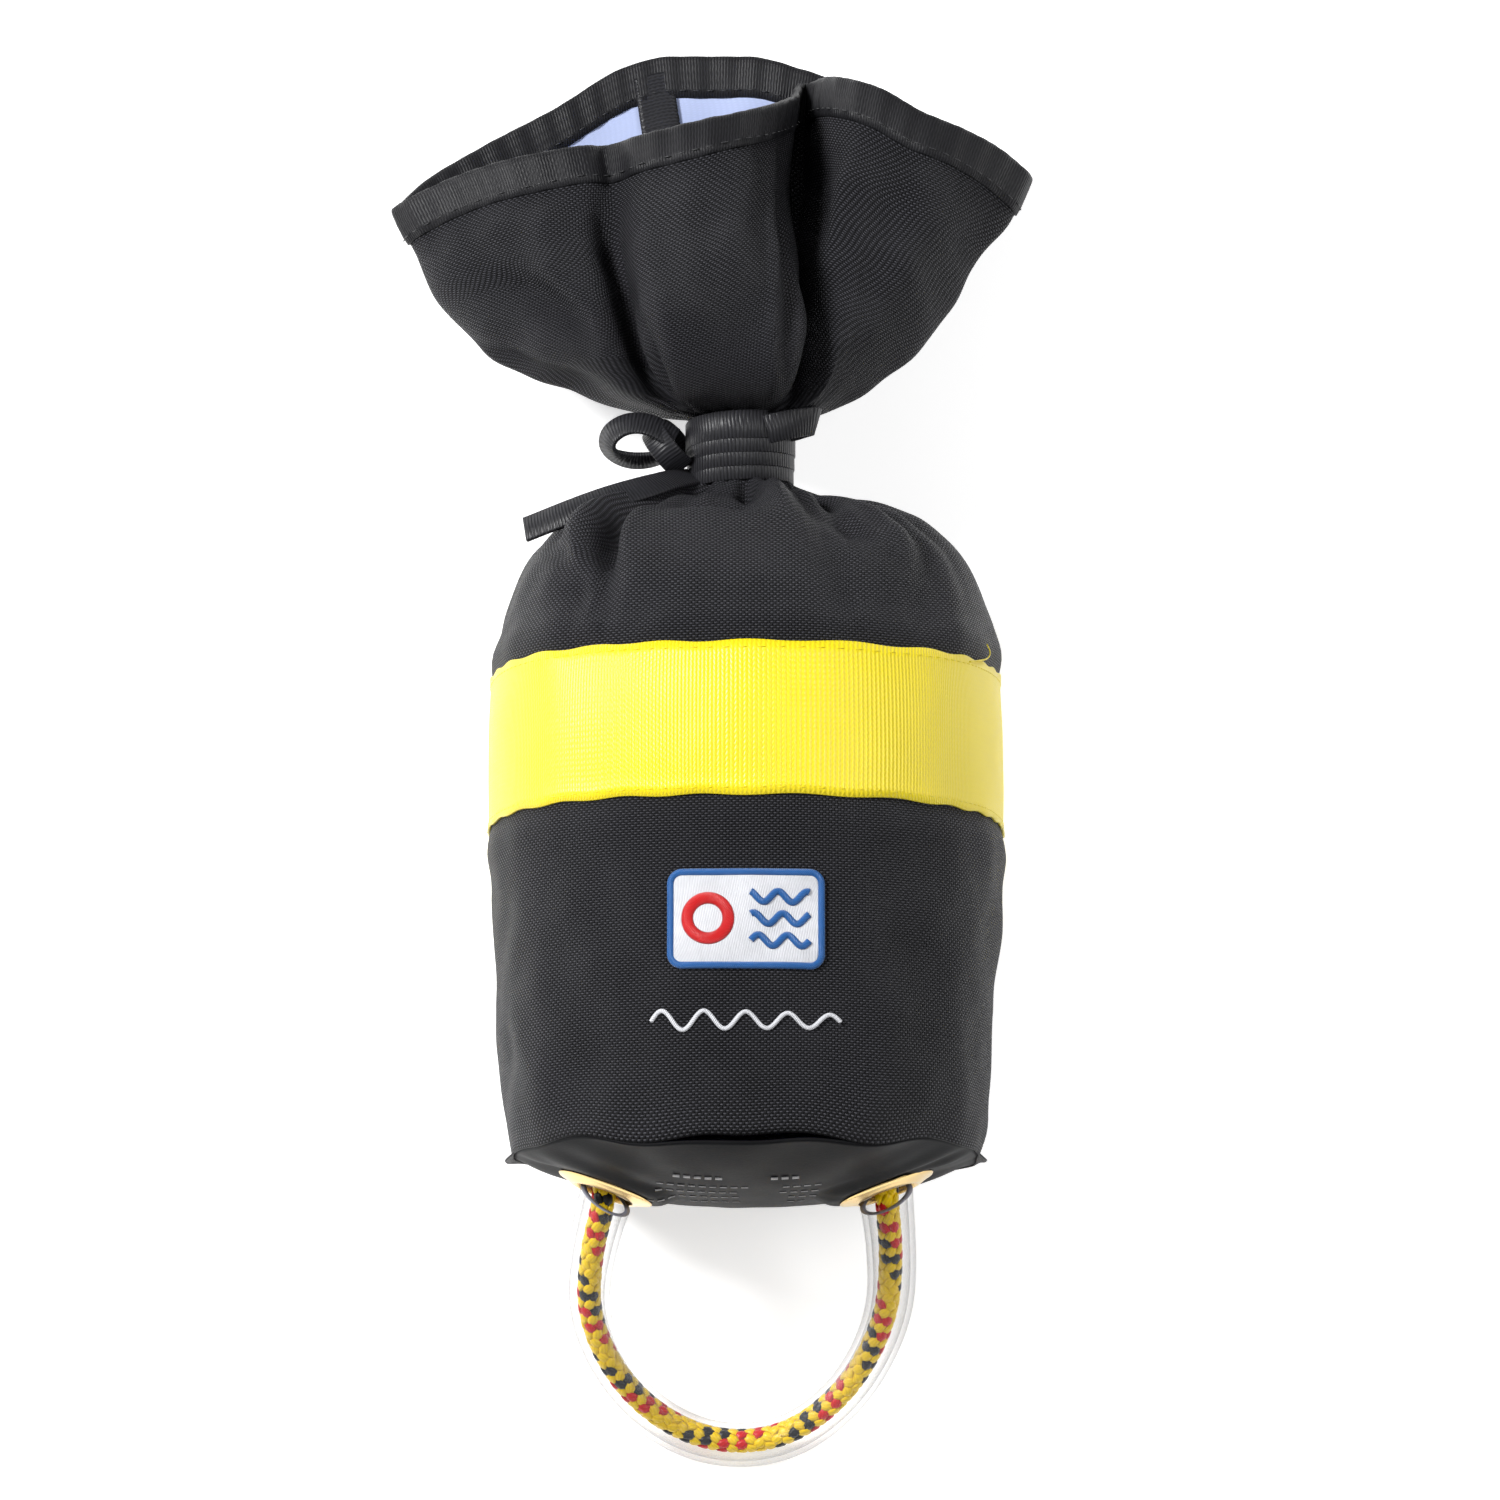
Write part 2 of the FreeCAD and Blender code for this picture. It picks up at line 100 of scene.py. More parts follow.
def length(name, default, description):
    """A length property with its default, in metres."""
    return FloatProperty(name=name, description=description, default=default, unit="LENGTH", precision=5)


class BagSizes(bpy.types.PropertyGroup):
    """Sizes that a maker would change."""

    cloth: length("Cloth", 0.7 * MM, "Thickness of the coated cloth")
    girth: length("Girth", 0.515, "Length of the cloth round the bag")
    weave: length("Weave", 1.0 * MM, "Distance from thread to thread")
    band_low: length("Band edge", 0.104, "Reach of the yellow band's lower edge")
    band_width: length("Band width", 0.050, "Width of the yellow webbing")
    band_thickness: length("Band thickness", 1.0 * MM, "Thickness of the yellow webbing")
    binding: length("Binding", 0.013, "How far the binding covers the mouth's edge")
    strap_width: length("Tie strap width", 0.0094, "Width of the tie strap")
    strap_thickness: length("Tie strap thickness", 1.5 * MM, "Thickness of the tie strap")
    stitch: length("Stitch", 4.2 * MM, "Distance from stitch to stitch")
    rope: length("Rope", 0.008, "Diameter of the rope")
    rope_lay: length("Rope lay", 0.036, "Length of one turn of a strand")
    tube: length("Tube", 0.016, "Outer diameter of the handle's tube")
    tube_wall: length("Tube wall", 1.9 * MM, "Wall of the handle's tube")
    carriers: IntProperty(
        name="Carriers", description="Strands laid each way round the rope", default=6, min=4
    )


class BagColours(bpy.types.PropertyGroup):
    """Colours that a maker would change."""

    black: colour("Black cloth", (0.0045, 0.0045, 0.0052), "Side panel and mouth")
    tape: colour("Black tape", (0.0040, 0.0040, 0.0046), "Binding, tie strap and seam tapes")
    vinyl: colour("Black vinyl", (0.0065, 0.0067, 0.0075), "Bottom panel")
    # The lining's colour is partly its own pale blue-white and partly painted shade: it is set darker, to a
    # blue-grey, for the shade inside the mouth.
    lining: colour("Lining", (0.43, 0.50, 0.74), "Coated inside of the cloth")
    yellow: colour("Yellow webbing", (0.90, 0.72, 0.010), "Band")
    rope: colour("Rope yellow", (1.0, 0.62, 0.0), "Main strands of the rope")
    red: colour("Red", (0.62, 0.006, 0.008), "Rope tracer and badge")
    blue: colour("Blue", (0.012, 0.11, 0.36), "Badge border and waves")
    white: colour("White thread", (0.72, 0.73, 0.77), "Badge ground and embroidery")
    brass: colour("Brass", (0.83, 0.60, 0.26), "Eyelets")
    floor: colour("Floor", (0.95, 0.95, 0.95), "Floor under the bag")


def sizes():
    return bpy.context.scene.bag_sizes


def colours():
    return bpy.context.scene.bag_colours


# ------------------------------------------------------------------ curves through keys


def through(keys):
    """A smooth curve through (place, value) keys that never swings past them."""
    x, y = (np.array(column, float) for column in zip(*keys))
    step, rise = np.diff(x), np.diff(y)
    slope = rise / step
    tangent = np.zeros_like(y)
    same_way = slope[:-1] * slope[1:] > 0
    w1, w2 = 2 * step[1:] + step[:-1], step[1:] + 2 * step[:-1]
    safe = np.where(same_way, slope[:-1], 1), np.where(same_way, slope[1:], 1)
    tangent[1:-1] = np.where(same_way, (w1 + w2) / (w1 / safe[0] + w2 / safe[1]), 0)
    tangent[0], tangent[-1] = slope[0], slope[-1]

    def at(place):
        place = np.clip(np.asarray(place, float), x[0], x[-1])
        i = np.clip(np.searchsorted(x, place) - 1, 0, len(step) - 1)
        t = (place - x[i]) / step[i]
        return (
            y[i] * (1 + 2 * t) * (1 - t) ** 2
            + tangent[i] * step[i] * t * (1 - t) ** 2
            + y[i + 1] * t * t * (3 - 2 * t)
            + tangent[i + 1] * step[i] * t * t * (t - 1)
        )

    return at


def bump_at(place, middle, width):
    """A soft bump, 1 at its middle and about 0 from 2 widths away."""
    return np.exp(-(((place - middle) / width) ** 2))


# ------------------------------------------------------------------ shape of the cloth

NECK_REACH = 0.280  # the tie's upper edge, where the mouth starts
MOUTH_REACH = 0.137  # cloth from the tie to the rim
RIM_REACH = NECK_REACH + MOUTH_REACH
RIGHT_ROUND = 0.565  # where round the cloth the bag's right side is

# Along the bag in mm: (reach, station, half width, top height, underside height before it flattens).
# A station is a distance straight along the bag from the bottom seam.
PROFILE = [
    (0, 0, 74.6, 138.5, -4),
    (10, 10, 77, 143, -7),
    (30, 30, 78.6, 147.5, -9),
    (50, 50, 79.8, 150.2, -10),
    (76, 76, 81.6, 152.2, -11.5),
    (95, 95, 82.2, 153, -12),
    (115, 115, 82.6, 153.4, -12),
    (141, 141, 82.3, 152.8, -12),
    (160, 160, 80.8, 150.2, -11),
    (167, 167, 79.3, 148.6, -10),
    (180, 180, 76, 143.4, -7),
    (195, 193, 70.4, 134, 1),
    (202, 199, 66, 127.5, 7),
    (213, 206, 58, 116.5, 17),
    (224, 210.5, 48.5, 105.5, 27),
    (236, 213.6, 35, 94, 36),
    (250, 216.2, 23.5, 84.5, 42.5),
    (258, 219.4, 17, 79.5, 45.5),
    (280, 240.5, 14.8, 77, 47),
]
# The rim, from its left corner over the front to the right corner and back: (across, station, height)
RIM = [
    (-114.3, 316.5, 24),
    (-93, 324, 43),
    (-70, 328.5, 55),
    (-54, 331, 57),
    (-46, 332, 52),
    (-32, 333.5, 65),
    (-14, 337, 70),
    (0, 341, 66),
    (10, 346, 53),
    (16, 353, 30),
    (19.5, 361, 9),
    (23, 360, 20),
    (30, 357, 40),
    (45, 350.5, 51),
    (58, 343, 50),
    (70, 339, 45),
    (82, 334, 37),
    (92.5, 327, 25),
    (72, 343, 9),
    (45, 356, 3.4),
    (20, 366, 2.6),
    (0, 371, 2.6),
    (-25, 371, 2.6),
    (-38, 368, 2.6),
    (-63, 353, 3.4),
    (-86, 340, 7),
    (-105, 327, 14),
]
RIGHT_CORNER = 17  # the rim's row at its right corner
# Where each part of the rim comes from on the neck: (round, degrees), 180 at the left and 90 at the front
TURN = [(0, 180), (0.1426, 139), (0.25, 100), (0.361, 47), (RIGHT_ROUND, 0), (0.78, -90), (1, -180)]
# Creases that run into the tie: (degrees, depth in mm, first reach, last reach, half width in mm)
CREASES = [
    (131, 4.0, 0.140, 0.235, 4.5),
    (142, -2.5, 0.160, 0.230, 5.0),
    (112, 4.0, 0.196, 0.248, 3.5),
    (57, 6.5, 0.196, 0.240, 3.5),
    (64, -2.5, 0.190, 0.240, 4.0),
    (70, 3.0, 0.156, 0.225, 4.0),
    (51, 2.4, 0.150, 0.210, 4.0),
    (41, 3.4, 0.150, 0.225, 4.0),
    (30, 2.6, 0.158, 0.235, 4.0),
    (100, 3.4, 0.212, 0.248, 4.0),
    (84, 8.5, 0.216, 0.236, 4.5),
    (76, -4.5, 0.214, 0.238, 3.0),
    (150, 2.2, 0.170, 0.250, 5.0),
    (166, 2.6, 0.180, 0.250, 5.0),
    (12, 2.4, 0.175, 0.250, 5.0),
    (-8, 2.6, 0.180, 0.250, 5.0),
    (-30, 2.4, 0.180, 0.250, 5.0),
    (-52, 2.6, 0.185, 0.250, 5.0),
    (-78, 2.4, 0.185, 0.250, 5.0),
    (-104, 2.6, 0.185, 0.250, 5.0),
    (-128, 2.4, 0.180, 0.250, 5.0),
    (-152, 2.6, 0.180, 0.250, 5.0),
    (-170, 2.2, 0.180, 0.250, 5.0),
]
# Folds seen from above, in mm: the line's points as (across, station), its rise, its half width on each side
FOLDS = [
    ([(-25, 207), (-14, 209.5), (-4, 208.5), (5, 205)], -8.5, 4.0, 4.0),
    ([(-8, 216), (3, 214.5), (10, 209), (13, 199)], 5.0, 2.4, 3.0),
    ([(17, 218), (21, 213)], 3.5, 3.0, 3.0),
    ([(21, 215), (26, 207.5), (34, 200), (44, 190)], -6.5, 3.0, 7.0),
    ([(44, 200), (51, 186), (52, 168)], 3.0, 5.0, 6.0),
    ([(-19, 217), (-33, 212.5), (-43, 205), (-46.5, 190), (-47, 166)], -10.0, 5.0, 2.8),
    ([(-30, 208), (-38, 199), (-41, 184)], 3.0, 3.5, 3.5),
    ([(-47, 209), (-54, 198), (-56, 180)], 3.2, 4.0, 4.0),
    ([(-60, 196), (-56, 182), (-55, 166)], -3.0, 3.5, 5.0),
    ([(30, 190), (34, 176), (33, 160)], -2.2, 4.0, 6.0),
    ([(52, 186), (57, 172), (60, 158)], -2.0, 4.0, 6.0),
    ([(-62, 150), (-40, 158), (-28, 172)], -1.5, 7.0, 7.0),
    ([(-60, 60), (-50, 30), (-54, 6)], -1.6, 9.0, 9.0),
    ([(50, 70), (60, 44), (56, 18)], -1.8, 8.0, 8.0),
    ([(-24, 12), (0, 6), (26, 12)], -1.6, 7.0, 7.0),
    ([(-48, 314), (-41, 290), (-32.5, 263), (-23, 240)], -6.0, 2.2, 5.5),
    ([(-36, 312), (-31, 288), (-24, 262), (-17, 246)], 3.2, 5.0, 6.0),
    ([(14.5, 330), (14, 300), (13.5, 270), (13, 246)], -4.0, 2.0, 4.5),
    ([(8.5, 328), (8.5, 300), (8.5, 270), (8, 246)], 3.0, 4.0, 1.6),
    ([(36, 338), (29, 305), (24, 278)], 4.0, 3.4, 6.0),
    ([(52, 318), (43, 292), (36, 274)], -2.0, 5.0, 8.0),
    ([(66, 322), (58, 300), (44, 276)], 2.4, 8.0, 8.0),
    ([(-90, 306), (-72, 308), (-56, 305)], 5.0, 8.0, 8.0),
    ([(-84, 292), (-66, 282), (-44, 262)], -6.0, 4.0, 7.0),
    ([(-92, 272), (-70, 258), (-44, 244)], -3.0, 2.4, 5.0),
    ([(-70, 300), (-58, 280), (-38, 254)], 2.5, 5.0, 5.0),
    ([(-12, 330), (-13, 300), (-10, 270)], -1.6, 6.0, 6.0),
]


def folds_from_above(points):
    """How far the folds on the front lift each point of the cloth."""
    x, station = points[..., 0] / MM, (points[..., 1] - SEAM_Y) / MM
    rise = np.zeros_like(x)
    for line, height, left, right in FOLDS:
        line = np.array(rounded([(px, py, 0) for px, py in line], 2))[:, :2]
        nearest, value = np.full_like(x, 1e9), np.zeros_like(x)
        total = len(line) - 1
        for k, (p, q) in enumerate(zip(line, line[1:])):
            run = q - p
            t = np.clip(((x - p[0]) * run[0] + (station - p[1]) * run[1]) / run.dot(run), 0, 1)
            dx, dy = x - p[0] - t * run[0], station - p[1] - t * run[1]
            off = np.hypot(dx, dy)
            width = np.where(dx * run[1] - dy * run[0] > 0, right, left)
            share = (k + t) / total
            ends = np.clip(4 * share + 0.25, 0, 1) * np.clip(4 * (1 - share) + 0.25, 0, 1)
            here = height * ends * np.exp(-((off / width) ** 2))
            value = np.where(off < nearest, here, value)
            nearest = np.minimum(off, nearest)
        rise += value
    return rise * MM


def rim_curve():
    """The rim as curves of round, smooth through its points."""
    points = np.array(RIM + RIM[:1], float)
    steps = np.linalg.norm(np.diff(points, axis=0), axis=1)
    places = np.concatenate([[0], np.cumsum(steps)]) / steps.sum()
    corner = places[RIGHT_CORNER]
    behind = (places[RIGHT_CORNER + 1 :] - corner) / (1 - corner)
    places[RIGHT_CORNER + 1 :] = RIGHT_ROUND + behind * (1 - RIGHT_ROUND)
    places[: RIGHT_CORNER + 1] *= RIGHT_ROUND / corner
    wrapped = np.concatenate([places[-3:-1] - 1, places, places[1:3] + 1])
    rows = np.concatenate([points[-3:-1], points, points[1:3]])
    return [through(list(zip(wrapped, rows[:, k]))) for k in range(3)]


RIM_CURVES = rim_curve()
PROFILE_CURVES = [through([(row[0] * MM, row[k] * MM) for row in PROFILE]) for k in range(1, 5)]
TURN_CURVE = through(TURN)


def angle_of(round_):
    """The angle round the bag's section, in radians."""
    return np.radians(TURN_CURVE(np.mod(round_, 1.0)))


def soft_floor(height, floor, blend=2.5 * MM):
    """Height, eased on to a floor instead of passing through it."""
    over = height - floor
    return floor + 0.5 * (over + np.sqrt(over * over + blend * blend)) - 0.25 * blend


def body_point(angle, reach):
    """The filled bag and its neck, before its creases."""
    station, half, top, under = (curve(reach) for curve in PROFILE_CURVES)
    neckness = np.clip((reach - 0.190) / 0.065, 0, 1)
    middle = AXIS_Z + (NECK.z - AXIS_Z) * neckness**2 * (3 - 2 * neckness)
    across = NECK.x * neckness
    rise = np.where(np.sin(angle) > 0, top - middle, middle - under)
    square = 1 + 0.05 * np.sin(2 * angle) ** 2 * (1 - neckness)
    x = across + half * np.cos(angle) * square
    z = soft_floor(middle + rise * np.sin(angle) * square, 0.4 * MM)
    front = np.clip(np.sin(angle), 0, 1)
    seam = np.exp(-reach / 0.012)
    wave = 1.4 * MM * np.sin(angle * 7 + 0.6) + 0.9 * MM * np.sin(angle * 12 + 2)
    y = SEAM_Y + station - seam * front * (3.4 * MM + wave)
    return np.stack([x, y, z], -1)


def mouth_point(round_, share):
    """The flared mouth: from the tie out, and over to the rim."""
    angle = angle_of(round_)
    start = body_point(angle, np.full_like(angle, NECK_REACH))
    rim = np.stack([curve(np.mod(round_, 1.0)) * MM for curve in RIM_CURVES], -1)
    rim[..., 1] += SEAM_Y
    under = np.clip(-np.sin(angle), 0, 1)
    over = np.clip(np.sin(angle), 0, 1)
    left, right = np.clip(-np.cos(angle), 0, 1) ** 3, np.clip(np.cos(angle), 0, 1) ** 3
    lean = np.radians(4 + 44 * under - 8 * right)
    out = np.stack([np.cos(angle) * np.cos(lean), np.sin(lean), np.sin(angle) * np.cos(lean)], -1)
    valley = 0.62 * bump_at(round_, 0.362, 0.020) + 0.42 * bump_at(round_, 0.146, 0.018)
    ridge = 0.16 * bump_at(round_, 0.318, 0.026) + 0.14 * bump_at(round_, 0.41, 0.028)
    first = (47 - 6 * under + 20 * left - 13 * right) * MM * (1 - valley + ridge)
    last = 44 * MM
    side = (rim[..., 0] + 0.010) / 0.104
    away = np.stack([0.55 * side, np.ones_like(side), -0.36 * over * (1 - 0.8 * valley)], -1)
    away /= np.linalg.norm(away, axis=-1, keepdims=True)
    a, b = start + out * first[..., None], rim - away * last
    t = share[..., None]
    return start * (1 - t) ** 3 + 3 * a * t * (1 - t) ** 2 + 3 * b * t * t * (1 - t) + rim * t**3


def grid_normals(points):
    """Outward normals of a closed grid of rows by columns."""
    around = np.roll(points, -1, 1) - np.roll(points, 1, 1)
    along = np.gradient(points, axis=0)
    normal = np.cross(around, along)
    return normal / np.maximum(np.linalg.norm(normal, axis=-1, keepdims=True), 1e-12)


def crease_depth(round_, reach):
    """How far the creases at the tie pull the cloth in."""
    angle = np.degrees(angle_of(round_))
    half = PROFILE_CURVES[1](reach)
    depth = np.zeros_like(reach)
    for degrees, deep, first, last, width in CREASES:
        swept = (angle - degrees + 180) % 360 - 180
        spread = np.degrees(width * MM / np.maximum(half, 0.030))
        grow = np.clip((reach - first) / (last - first), 0, 1)
        fade = np.clip((reach - 0.246) / 0.012, 0, 1)
        strength = grow * grow * (3 - 2 * grow) * (1 - fade)
        depth += deep * MM * strength * np.exp(-((swept / spread) ** 2))
    pleats = 0.5 + 0.5 * np.cos(np.radians(angle * 16 + 40 * np.sin(np.radians(angle * 3))))
    neckness = bump_at(reach, 0.262, 0.026)
    warp = angle * 13 + 55 * np.sin(np.radians(angle * 2 + 20)) + 25 * np.sin(np.radians(angle * 5))
    gather = 0.5 + 0.5 * np.sin(np.radians(warp))
    near = bump_at(reach, 0.236, 0.026) * np.clip((0.262 - reach) / 0.012, 0, 1)
    return depth + 1.1 * MM * neckness * (1 - pleats**0.6) + 3.0 * MM * near * (gather**1.5 - 0.4)


def lumps(points, scale, strength, seed):
    """Smooth noise over a grid of points."""
    flat = points.reshape(-1, 3) * scale + seed
    values = [noise.noise(Vector(p)) for p in flat]
    return np.array(values).reshape(points.shape[:-1]) * strength


def cloth_grid(columns, rows):
    """The whole cloth as a grid of points, rows from the bottom seam to the rim."""
    reach, round_ = np.meshgrid(np.linspace(0, RIM_REACH, rows), np.arange(columns) / columns, indexing="ij")
    share = np.clip((reach - NECK_REACH) / MOUTH_REACH, 0, 1)
    body = body_point(angle_of(round_), np.minimum(reach, NECK_REACH))
    points = np.where((reach > NECK_REACH)[..., None], mouth_point(round_, share), body)
    normal = grid_normals(points)
    filled = np.clip((0.262 - reach) / 0.03, 0, 1)
    flared = np.clip(share / 0.25, 0, 1) * np.clip((1.04 - share) / 0.2, 0, 1)
    lift = -crease_depth(round_, reach)
    size = sizes()
    band = size.band_low, size.band_low + size.band_width
    held = 1 - 0.8 * np.exp(-((reach - (band[0] + band[1]) / 2) / (0.7 * size.band_width)) ** 4)
    lift += (lumps(points, 26, 2.3 * MM, 3.1) + lumps(points, 62, 1.1 * MM, 7.7)) * filled * held
    lift += (lumps(points, 24, 4.0 * MM, 11.3) + lumps(points, 55, 1.8 * MM, 5.9)) * flared
    inside = 1 / (1 + np.exp(-(reach - band[0]) / (1.5 * MM))) / (1 + np.exp((reach - band[1]) / (1.5 * MM)))
    lift -= 0.9 * MM * inside
    lift += 1.1 * MM * (bump_at(reach, band[0] - 7 * MM, 6 * MM) + bump_at(reach, band[1] + 7 * MM, 6 * MM))
    facing_up = np.clip(normal[..., 2] * 2.5 - 0.3, 0, 1) * (np.sin(angle_of(round_)) > 0)
    edge_free = np.clip((RIM_REACH - 0.002 - reach) / 0.02, 0.15, 1)
    neck_free = 1 - bump_at(reach, 0.268, 0.012)
    lift += folds_from_above(points) * facing_up * edge_free * neck_free * (1 - 0.8 * inside)
    points = points + normal * lift[..., None]
    points[..., 2] = soft_floor(points[..., 2], (0.5 + 1.4 * inside) * MM, 1 * MM)
    return points


class Cloth:
    """The finished cloth's grid, which every piece on the cloth is laid on."""

    def __init__(self, points):
        self.points = points
        self.normals = grid_normals(points)

    def at(self, round_, reach, lift=0.0):
        """Points over the cloth: where round it, how far along it and how far off it."""
        rows, columns = self.points.shape[:2]
        r = np.clip(np.asarray(reach, float) / RIM_REACH, 0, 1) * (rows - 1)
        c = np.mod(np.asarray(round_, float), 1.0) * columns
        r, c = np.broadcast_arrays(r, c)
        i = np.minimum(r.astype(int), rows - 2)
        j = c.astype(int) % columns
        k = (j + 1) % columns
        s, t = (r - i)[..., None], (c - np.floor(c))[..., None]

        def mix(table):
            low = table[i, j] * (1 - t) + table[i, k] * t
            high = table[i + 1, j] * (1 - t) + table[i + 1, k] * t
            return low * (1 - s) + high * s

        normal = mix(self.normals)
        normal /= np.maximum(np.linalg.norm(normal, axis=-1, keepdims=True), 1e-9)
        return mix(self.points) + normal * np.asarray(lift, float)[..., None]

    def over(self, x, station, lift=0.0):
        """Points over the front of the filled bag, from a place seen from above."""
        x, station = np.broadcast_arrays(np.asarray(x, float), np.asarray(station, float))
        places = np.linspace(0, RIGHT_ROUND, 300)
        reach = station
        half = PROFILE_CURVES[1](reach)
        degrees = np.degrees(np.arccos(np.clip(x / half, -1, 1)))
        round_ = np.interp(degrees, TURN_CURVE(places)[::-1], places[::-1])
        for _ in range(4):
            found = self.at(round_, reach)
            round_ = round_ + (x - found[..., 0]) / (half * math.pi) * RIGHT_ROUND
            reach = reach + (SEAM_Y + station - found[..., 1])
        return self.at(round_, reach, lift)


# ------------------------------------------------------------------ making meshes


def finished(bm, name, materials, body=None, smooth=True):
    """A mesh object from a bmesh, with its normals outwards and its materials set."""
    mesh = bpy.data.meshes.new(name)
    bm.to_mesh(mesh)
    bm.free()
    for material in materials:
        mesh.materials.append(material)
    if smooth:
        mesh.shade_smooth()
    piece = bpy.data.objects.new(name, mesh)
    bpy.context.scene.collection.objects.link(piece)
    if body:
        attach(piece, body)
    return piece


def sheet(columns, rows, shape, closed=False, uv=(1, 1), threads=None):
    """A bmesh grid bent into shape: shape gives points from arrays of two shares, 0 to 1.

    uv is the size of the piece's map in metres, unless threads gives the map from the same two arrays.
    """
    bm = bmesh.new()
    layer = bm.loops.layers.uv.new("UVMap")
    bmesh.ops.create_grid(bm, x_segments=columns, y_segments=rows, size=1, calc_uvs=True)
    flat = np.array([v.co for v in bm.verts])
    span = abs(flat).max(0)
    first, second = (flat[:, 0] / span[0] + 1) / 2, (flat[:, 1] / span[1] + 1) / 2
    places = threads(first, second) if threads else np.stack([first * uv[0], second * uv[1]], -1)
    for face in bm.faces:
        for loop in face.loops:
            loop[layer].uv = places[loop.vert.index]
    for vert, co in zip(bm.verts, shape(first, second)):
        vert.co = co
    if closed:
        bmesh.ops.remove_doubles(bm, verts=bm.verts, dist=1e-6)
    bm.normal_update()
    return bm


def closed_form(columns, rows, shape, uv, capped=True):
    """A sheet rolled into a closed form, its faces outwards, with its two ends filled if it is capped."""
    bm = sheet(columns, rows, shape, closed=True, uv=uv)
    if capped:
        bmesh.ops.holes_fill(bm, edges=[edge for edge in bm.edges if edge.is_boundary], sides=0)
    bmesh.ops.recalc_face_normals(bm, faces=bm.faces)
    return bm


def line_length(points):
    """The length of a line of points."""
    return float(np.linalg.norm(np.diff(points, axis=0), axis=1).sum())


def thicken(piece, thickness, offset=0.0, inner=None, rim=None):
    """A live Solidify, with the inside and the edge in their own materials if given."""
    modifier = piece.modifiers.new("Thickness", "SOLIDIFY")
    modifier.thickness, modifier.offset = thickness, offset
    modifier.use_even_offset = False
    if inner is not None:
        modifier.material_offset = inner
    if rim is not None:
        modifier.material_offset_rim = rim


def outward(bm, centre):
    """Turns an open sheet's faces away from a point inside it."""
    facing = sum((face.calc_center_median() - Vector(centre)).dot(face.normal) for face in bm.faces)
    if facing < 0:
        bmesh.ops.reverse_faces(bm, faces=bm.faces)
    return bm


def frames_along(points, up=Vector((0, 0, 1)), closed=False):
    """Directions, sideways and upward vectors along a line of points."""
    points = np.asarray(points, float)
    if closed:
        ahead = np.roll(points, -1, 0) - np.roll(points, 1, 0)
    else:
        ahead = np.gradient(points, axis=0)
    ahead /= np.linalg.norm(ahead, axis=1, keepdims=True)
    ups = np.broadcast_to(np.asarray(up, float), points.shape)
    side = np.cross(ahead, ups)
    side /= np.maximum(np.linalg.norm(side, axis=1, keepdims=True), 1e-9)
    return ahead, side, np.cross(side, ahead)


def even(points, count):
    """Points spaced evenly along a line."""
    points = np.asarray(points, float)
    along = np.concatenate([[0], np.cumsum(np.linalg.norm(np.diff(points, axis=0), axis=1))])
    places = np.linspace(0, along[-1], count)
    return np.stack([np.interp(places, along, points[:, k]) for k in range(3)], 1)


def rounded(points, passes=2, closed=False):
    """A line of points with its corners cut, Chaikin's way."""
    points = [Vector(p) for p in points]
    for _ in range(passes):
        pairs = list(zip(points, points[1:] + points[:1] if closed else points[1:]))
        cut = [q for a, b in pairs for q in (a.lerp(b, 0.25), a.lerp(b, 0.75))]
        points = cut if closed else [points[0], *cut[1:-1], points[-1]]
    return [tuple(p) for p in points]


def strap(points, width, thickness, up, closed=False):
    """A flat webbing strap that follows a line, its flat side facing up."""
    points = np.asarray(points, float)
    count = len(points)
    rows = count if closed else count - 1
    _, side, lift = frames_along(points, up, closed)
    half, deep, edge = width / 2, thickness / 2, 0.35 * MM
    outline = [(half, deep - edge), (half - edge, deep), (-half + edge, deep), (-half, deep - edge)]
    outline += [(-x, -y) for x, y in outline]
    ring = np.array(outline + outline[:1])

    def shape(first, second):
        index = np.rint(second * rows).astype(int) % count
        corner = np.rint(first * (len(ring) - 1)).astype(int)
        x, y = ring[corner, 0][:, None], ring[corner, 1][:, None]
        return points[index] + side[index] * x + lift[index] * y

    return closed_form(len(ring) - 1, rows, shape, (2 * width, line_length(points)), capped=not closed)


def bead(points, ups, width, height, closed=False):
    """A raised line of satin stitching: a low dome along a line, flat underneath."""
    points, ups = np.asarray(points, float), np.asarray(ups, float)
    count, corners = len(points), 10
    _, side, lift = frames_along(points, ups, closed)
    rows = count if closed else count - 1

    def shape(first, second):
        i = np.rint(first * rows).astype(int) % count
        a = second * 2 * math.pi
        tall = np.where(np.sin(a) > 0, np.sin(a) * height, np.sin(a) * 0.25 * height)
        return points[i] + side[i] * (np.cos(a) * width / 2)[:, None] + lift[i] * tall[:, None]

    return closed_form(rows, corners, shape, (line_length(points), 2.4 * width), capped=not closed)


def stitches(places, directions, normals, long, thick):
    """A row of thread stitches: small long beads, half sunk in the cloth."""
    bm = bmesh.new()
    for place, ahead, normal in zip(places, directions, normals):
        x = Vector(ahead).normalized()
        z = Vector(normal).normalized()
        y = z.cross(x).normalized()
        z = x.cross(y)
        turn = Matrix((x, y, z)).transposed().to_4x4()
        size = Matrix.Diagonal((long / 2, thick / 2, thick / 2, 1))
        matrix = Matrix.Translation(Vector(place)) @ turn @ size
        bmesh.ops.create_icosphere(bm, subdivisions=1, radius=1, matrix=matrix)
    return bm


def stitch_row(cloth, rounds, reaches, lift, long, thick):
    """Stitches at places on the cloth, each along the line between its neighbours."""
    middle = cloth.at(rounds, reaches, lift)
    off = cloth.at(rounds, reaches, lift + 1 * MM)
    ahead = np.gradient(middle, axis=0)
    return stitches(middle, ahead, off - middle, long, thick)


# ------------------------------------------------------------------ shader maths


